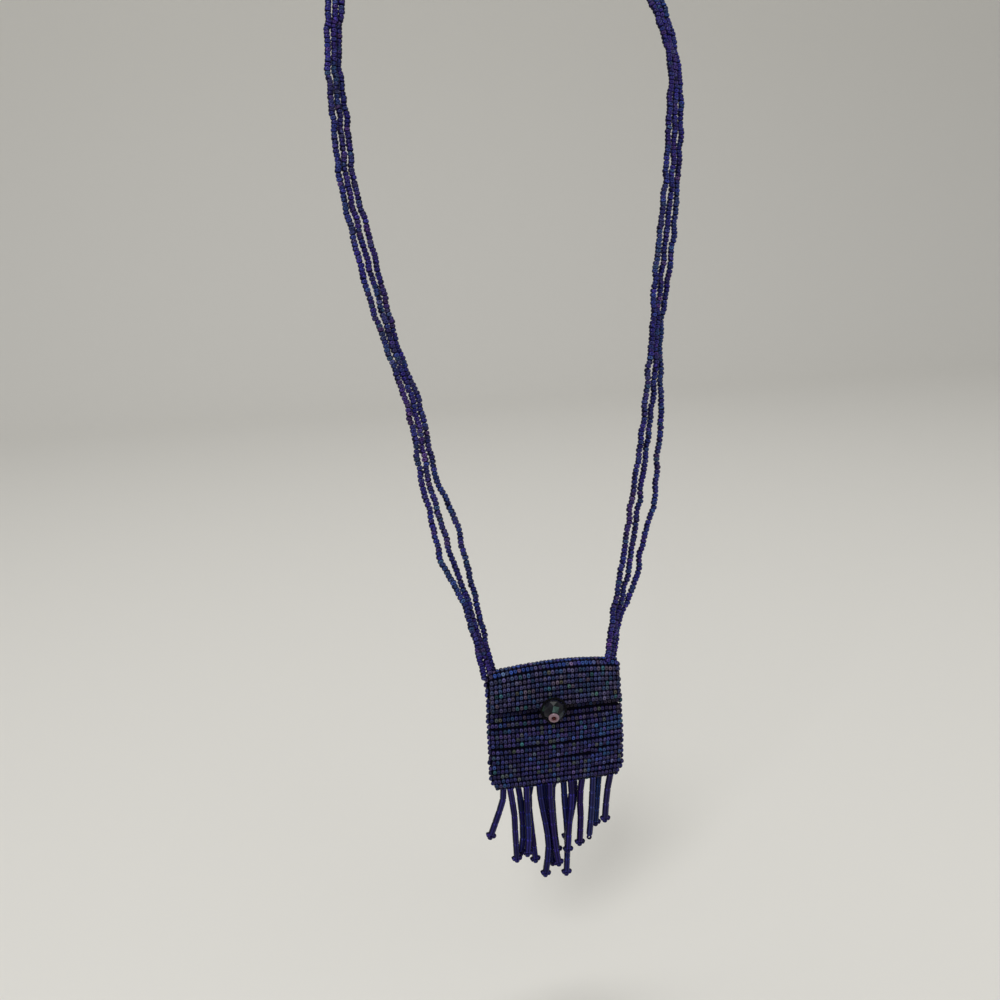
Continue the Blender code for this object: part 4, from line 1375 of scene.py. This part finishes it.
    def facet_tints(self, points: Array, faces: list) -> Array:
        """Tint each facet: a dark draw of its own, with painted glints where the cut glass would mirror the
        lamps.

        A facet's place is its middle's direction from the button's middle, as (right, up, out).
        Each painted glint adds its colour by exp(-(distance / spread)^2).

        Args:
            points: the button's corners.
            faces: its triangles and quads.

        Returns:
            A colour for each corner of each face, in turn.
        """
        rng = np.random.default_rng(self.seed)
        level, up = self.across
        frame_of = np.stack([-level, up, self.axis], axis=1)
        dark = np.array([linear(code) for code in self.dark_tints])
        tints = []
        for some in faces:
            middle = (points[some].mean(axis=1) - self.centre) @ frame_of / self.radius
            made = dark[rng.integers(len(dark), size=len(some))]
            for place, spread, code in self.painted_glints:
                near = np.exp(-(np.linalg.norm(middle - np.array(place), axis=1) / spread) ** 2)
                made = made + linear(code) * near[:, None]
            tints.append(np.repeat(made, some.shape[1], axis=0))
        return np.concatenate(tints)

    def stopper(self) -> None:
        """Turn the pink bead: an ellipse in section, just in front of the button, with painted shade in dark
        red towards its hole.
        """
        stops, sides = self.stopper_stops, self.stopper_sides
        around = 2 * math.pi * np.arange(stops) / stops
        middle, wall = (self.stopper_radius + self.hole) / 2, self.stopper_radius - self.hole
        along = self.edge + self.gap + self.stopper_body + self.stopper_body * np.sin(around)
        outline = np.stack([middle + wall / 2 * np.cos(around), along], axis=1)
        corners = self.turned(outline, sides, np.zeros(stops)).reshape(-1, 3)
        # painted shade: the bead turns dark red towards its hole
        far = ease((outline[:, 0] - self.hole) / wall * self.stopper_blend)[:, None]
        tint = np.repeat(linear(self.pink_hole_shade) * (1.0 - far) + linear(self.pink_face) * far, sides, axis=0)
        make_piece("pink_stopper", "stopper_bead", "pink_glass", corners,
                   [ring_faces(1, stops, sides, True)[:, ::-1]], self.pink.material(), tint)

    def thread_back(self) -> Array:
        """Find where the button's thread leaves the flap."""
        y = self.flap_face - self.gap - self.thread_radius * math.sin(self.nod)
        return self.centre + self.axis * ((y - self.centre[1]) / self.axis[1])

    def button_thread(self) -> None:
        """Run a thread straight through the button and the stopper bead."""
        front = self.centre + self.axis * (self.edge + self.gap + self.core_past * self.stopper_body)
        path = np.linspace(self.thread_back(), front, self.core_samples)
        corners, faces = thread_tube(path, self.thread_radius, self.thread_sides, self.core_twist)
        make_piece("button_core_thread", "button_thread", "black_thread", corners, faces,
                   self.core.material())

    def loop(self) -> None:
        """Bend the loop: from the front panel, round the button's thread behind the button, and back."""
        y = self.flap_face - self.gap - self.loop_thread
        back = self.thread_back()
        leg = self.leg_spacing / 2
        root = float(self.pouch.wall_y(self.x, np.array(-self.root_drop), Wall.FRONT))
        root = root - self.pouch.bead_radius - self.gap
        opening = math.asin(leg / self.loop_radius)
        turns = np.linspace(-math.pi / 2 + opening, 1.5 * math.pi - opening, self.loop_stops)
        ring = np.stack([back[0] + self.loop_radius * np.cos(turns), np.full(self.loop_stops, y),
                         back[2] - self.loop_sag + self.loop_radius * np.sin(turns)], axis=1)
        low = -self.root_drop
        right = np.array([(back[0] + leg, root, low), (back[0] + leg, (root + y) / 2, low)])
        left = right[::-1] - [self.leg_spacing, 0.0, 0.0]
        path = smooth_route(np.concatenate([right, ring, left]), self.loop_samples)
        corners, faces = thread_tube(path, self.loop_thread * self.loop_share, self.thread_sides,
                                     self.loop_twist)
        make_piece("loop_thread", "closure_loop", "black_thread", corners, faces, self.cord.material())


@dataclass
class Studio:
    """Floor, soft lights and the camera at the photograph's angle."""

    camera_place: tuple[float, float, float] = (-79.0, -336.6, 160.8)  # from the crest, in millimetres
    yaw: float = math.radians(10.24)
    pitch: float = math.radians(15.52)
    roll: float = math.radians(-2.33)
    lens: float = 36.0
    sensor: float = 36.0
    nearest: float = 0.01
    lit_place: tuple[float, float, float] = (0.0, -0.12, -0.28)
    floor_height: float = -0.40
    wall_y: float = 1.9
    sweep_radius: float = 0.7
    half_width: float = 4.0
    near_edge: float = -3.0
    wall_top: float = 3.5
    sky_light: float = 0.5
    sky_seen: float = 0.6
    floor: PlainFinish = PlainFinish("pale_floor", "dcdad4", 0.95)
    lamps: tuple = (
        ("key", (-0.5, -1.0, 0.75), 0.5, 8.0),
        ("fill", (1.0, -0.9, 0.1), 1.2, 3.0),
        ("top", (0.0, 0.35, 1.2), 0.6, 6.0),
    )

    def build(self) -> None:
        """Set up everything that isn't part of the bag."""
        self.lay_floor()
        self.light()
        self.aim()

    def lay_floor(self) -> None:
        """Lay a seamless sweep: a flat floor, a quarter circle, and a wall far behind the bag."""
        turn = np.linspace(-math.pi / 2, 0.0, 24)
        bend = self.wall_y - self.sweep_radius + self.sweep_radius * np.cos(turn)
        y = np.concatenate([[self.near_edge], bend, [self.wall_y]])
        z = np.concatenate([[self.floor_height],
                            self.floor_height + self.sweep_radius * (1.0 + np.sin(turn)), [self.wall_top]])
        line = np.stack([np.zeros(len(y)), y, z], axis=1)
        side = np.array([self.half_width, 0.0, 0.0])
        points = np.concatenate([line - side, line + side])
        k, n = np.arange(len(y) - 1), len(y)
        mesh = bpy.data.meshes.new("sweep")
        mesh.from_pydata(points.tolist(), [], np.stack([k, k + n, k + n + 1, k + 1], axis=1).tolist())
        mesh.shade_smooth()
        mesh.materials.append(self.floor.material())
        made = bpy.data.objects.new("sweep", mesh)
        bpy.context.scene.collection.objects.link(made)

    def light(self) -> None:
        """Hang the lamps and set the sky: pale to the camera and in reflections, dimmer as a light."""
        bag = Vector(self.lit_place)
        for name, place, size, power in self.lamps:
            data = bpy.data.lights.new(name, "AREA")
            data.size = size
            data.energy = power
            lamp = bpy.data.objects.new(name, data)
            lamp.location = place
            lamp.rotation_mode = "QUATERNION"
            lamp.rotation_quaternion = (bag - Vector(place)).to_track_quat("-Z", "Y")
            bpy.context.scene.collection.objects.link(lamp)
        world = bpy.data.worlds.new("studio")
        bpy.context.scene.world = world
        world.use_nodes = True
        tree = world.node_tree
        rays = tree.nodes.new("ShaderNodeLightPath").outputs
        seen = reckon(tree, "MAXIMUM", rays["Is Camera Ray"], rays["Is Glossy Ray"])
        seen = reckon(tree, "MAXIMUM", seen, rays["Is Transmission Ray"])
        strength = reckon(tree, "MULTIPLY_ADD", seen, self.sky_seen - self.sky_light, self.sky_light)
        sky = tree.nodes["Background"]
        sky.inputs["Color"].default_value = (1.0, 1.0, 1.0, 1.0)
        tree.links.new(strength, sky.inputs["Strength"])

    def aim(self) -> None:
        """Place the camera from its yaw, downward pitch and roll."""
        ahead = Vector((math.sin(self.yaw) * math.cos(self.pitch), math.cos(self.yaw) * math.cos(self.pitch),
                        -math.sin(self.pitch)))
        right = Vector((math.cos(self.yaw), -math.sin(self.yaw), 0.0))
        up = right.cross(ahead)
        side = math.cos(self.roll) * right + math.sin(self.roll) * up
        over = -math.sin(self.roll) * right + math.cos(self.roll) * up
        data = bpy.data.cameras.new("camera")
        data.sensor_width = self.sensor
        data.sensor_fit = "HORIZONTAL"
        data.lens = self.lens
        data.clip_start = self.nearest
        camera = bpy.data.objects.new("camera", data)
        turn = Matrix((side, over, -ahead)).transposed()
        place = Vector(self.camera_place) * MM + Vector(CREST_PLACE)
        camera.matrix_world = Matrix.Translation(place) @ turn.to_4x4()
        bpy.context.scene.collection.objects.link(camera)
        bpy.context.scene.camera = camera
        bpy.context.scene.view_settings.view_transform = "Standard"


def main() -> None:
    """Build the bag, cords first, and report each assembly."""
    logging.basicConfig(level=logging.INFO, format="%(message)s")
    pouch = WovenPouch()
    for assembly in (Studio(), Strap(), pouch, Fringe(pouch), Closure(pouch)):
        assembly.build()
        LOG.info("%s built", type(assembly).__name__)


if __name__ == "__main__":
    main()
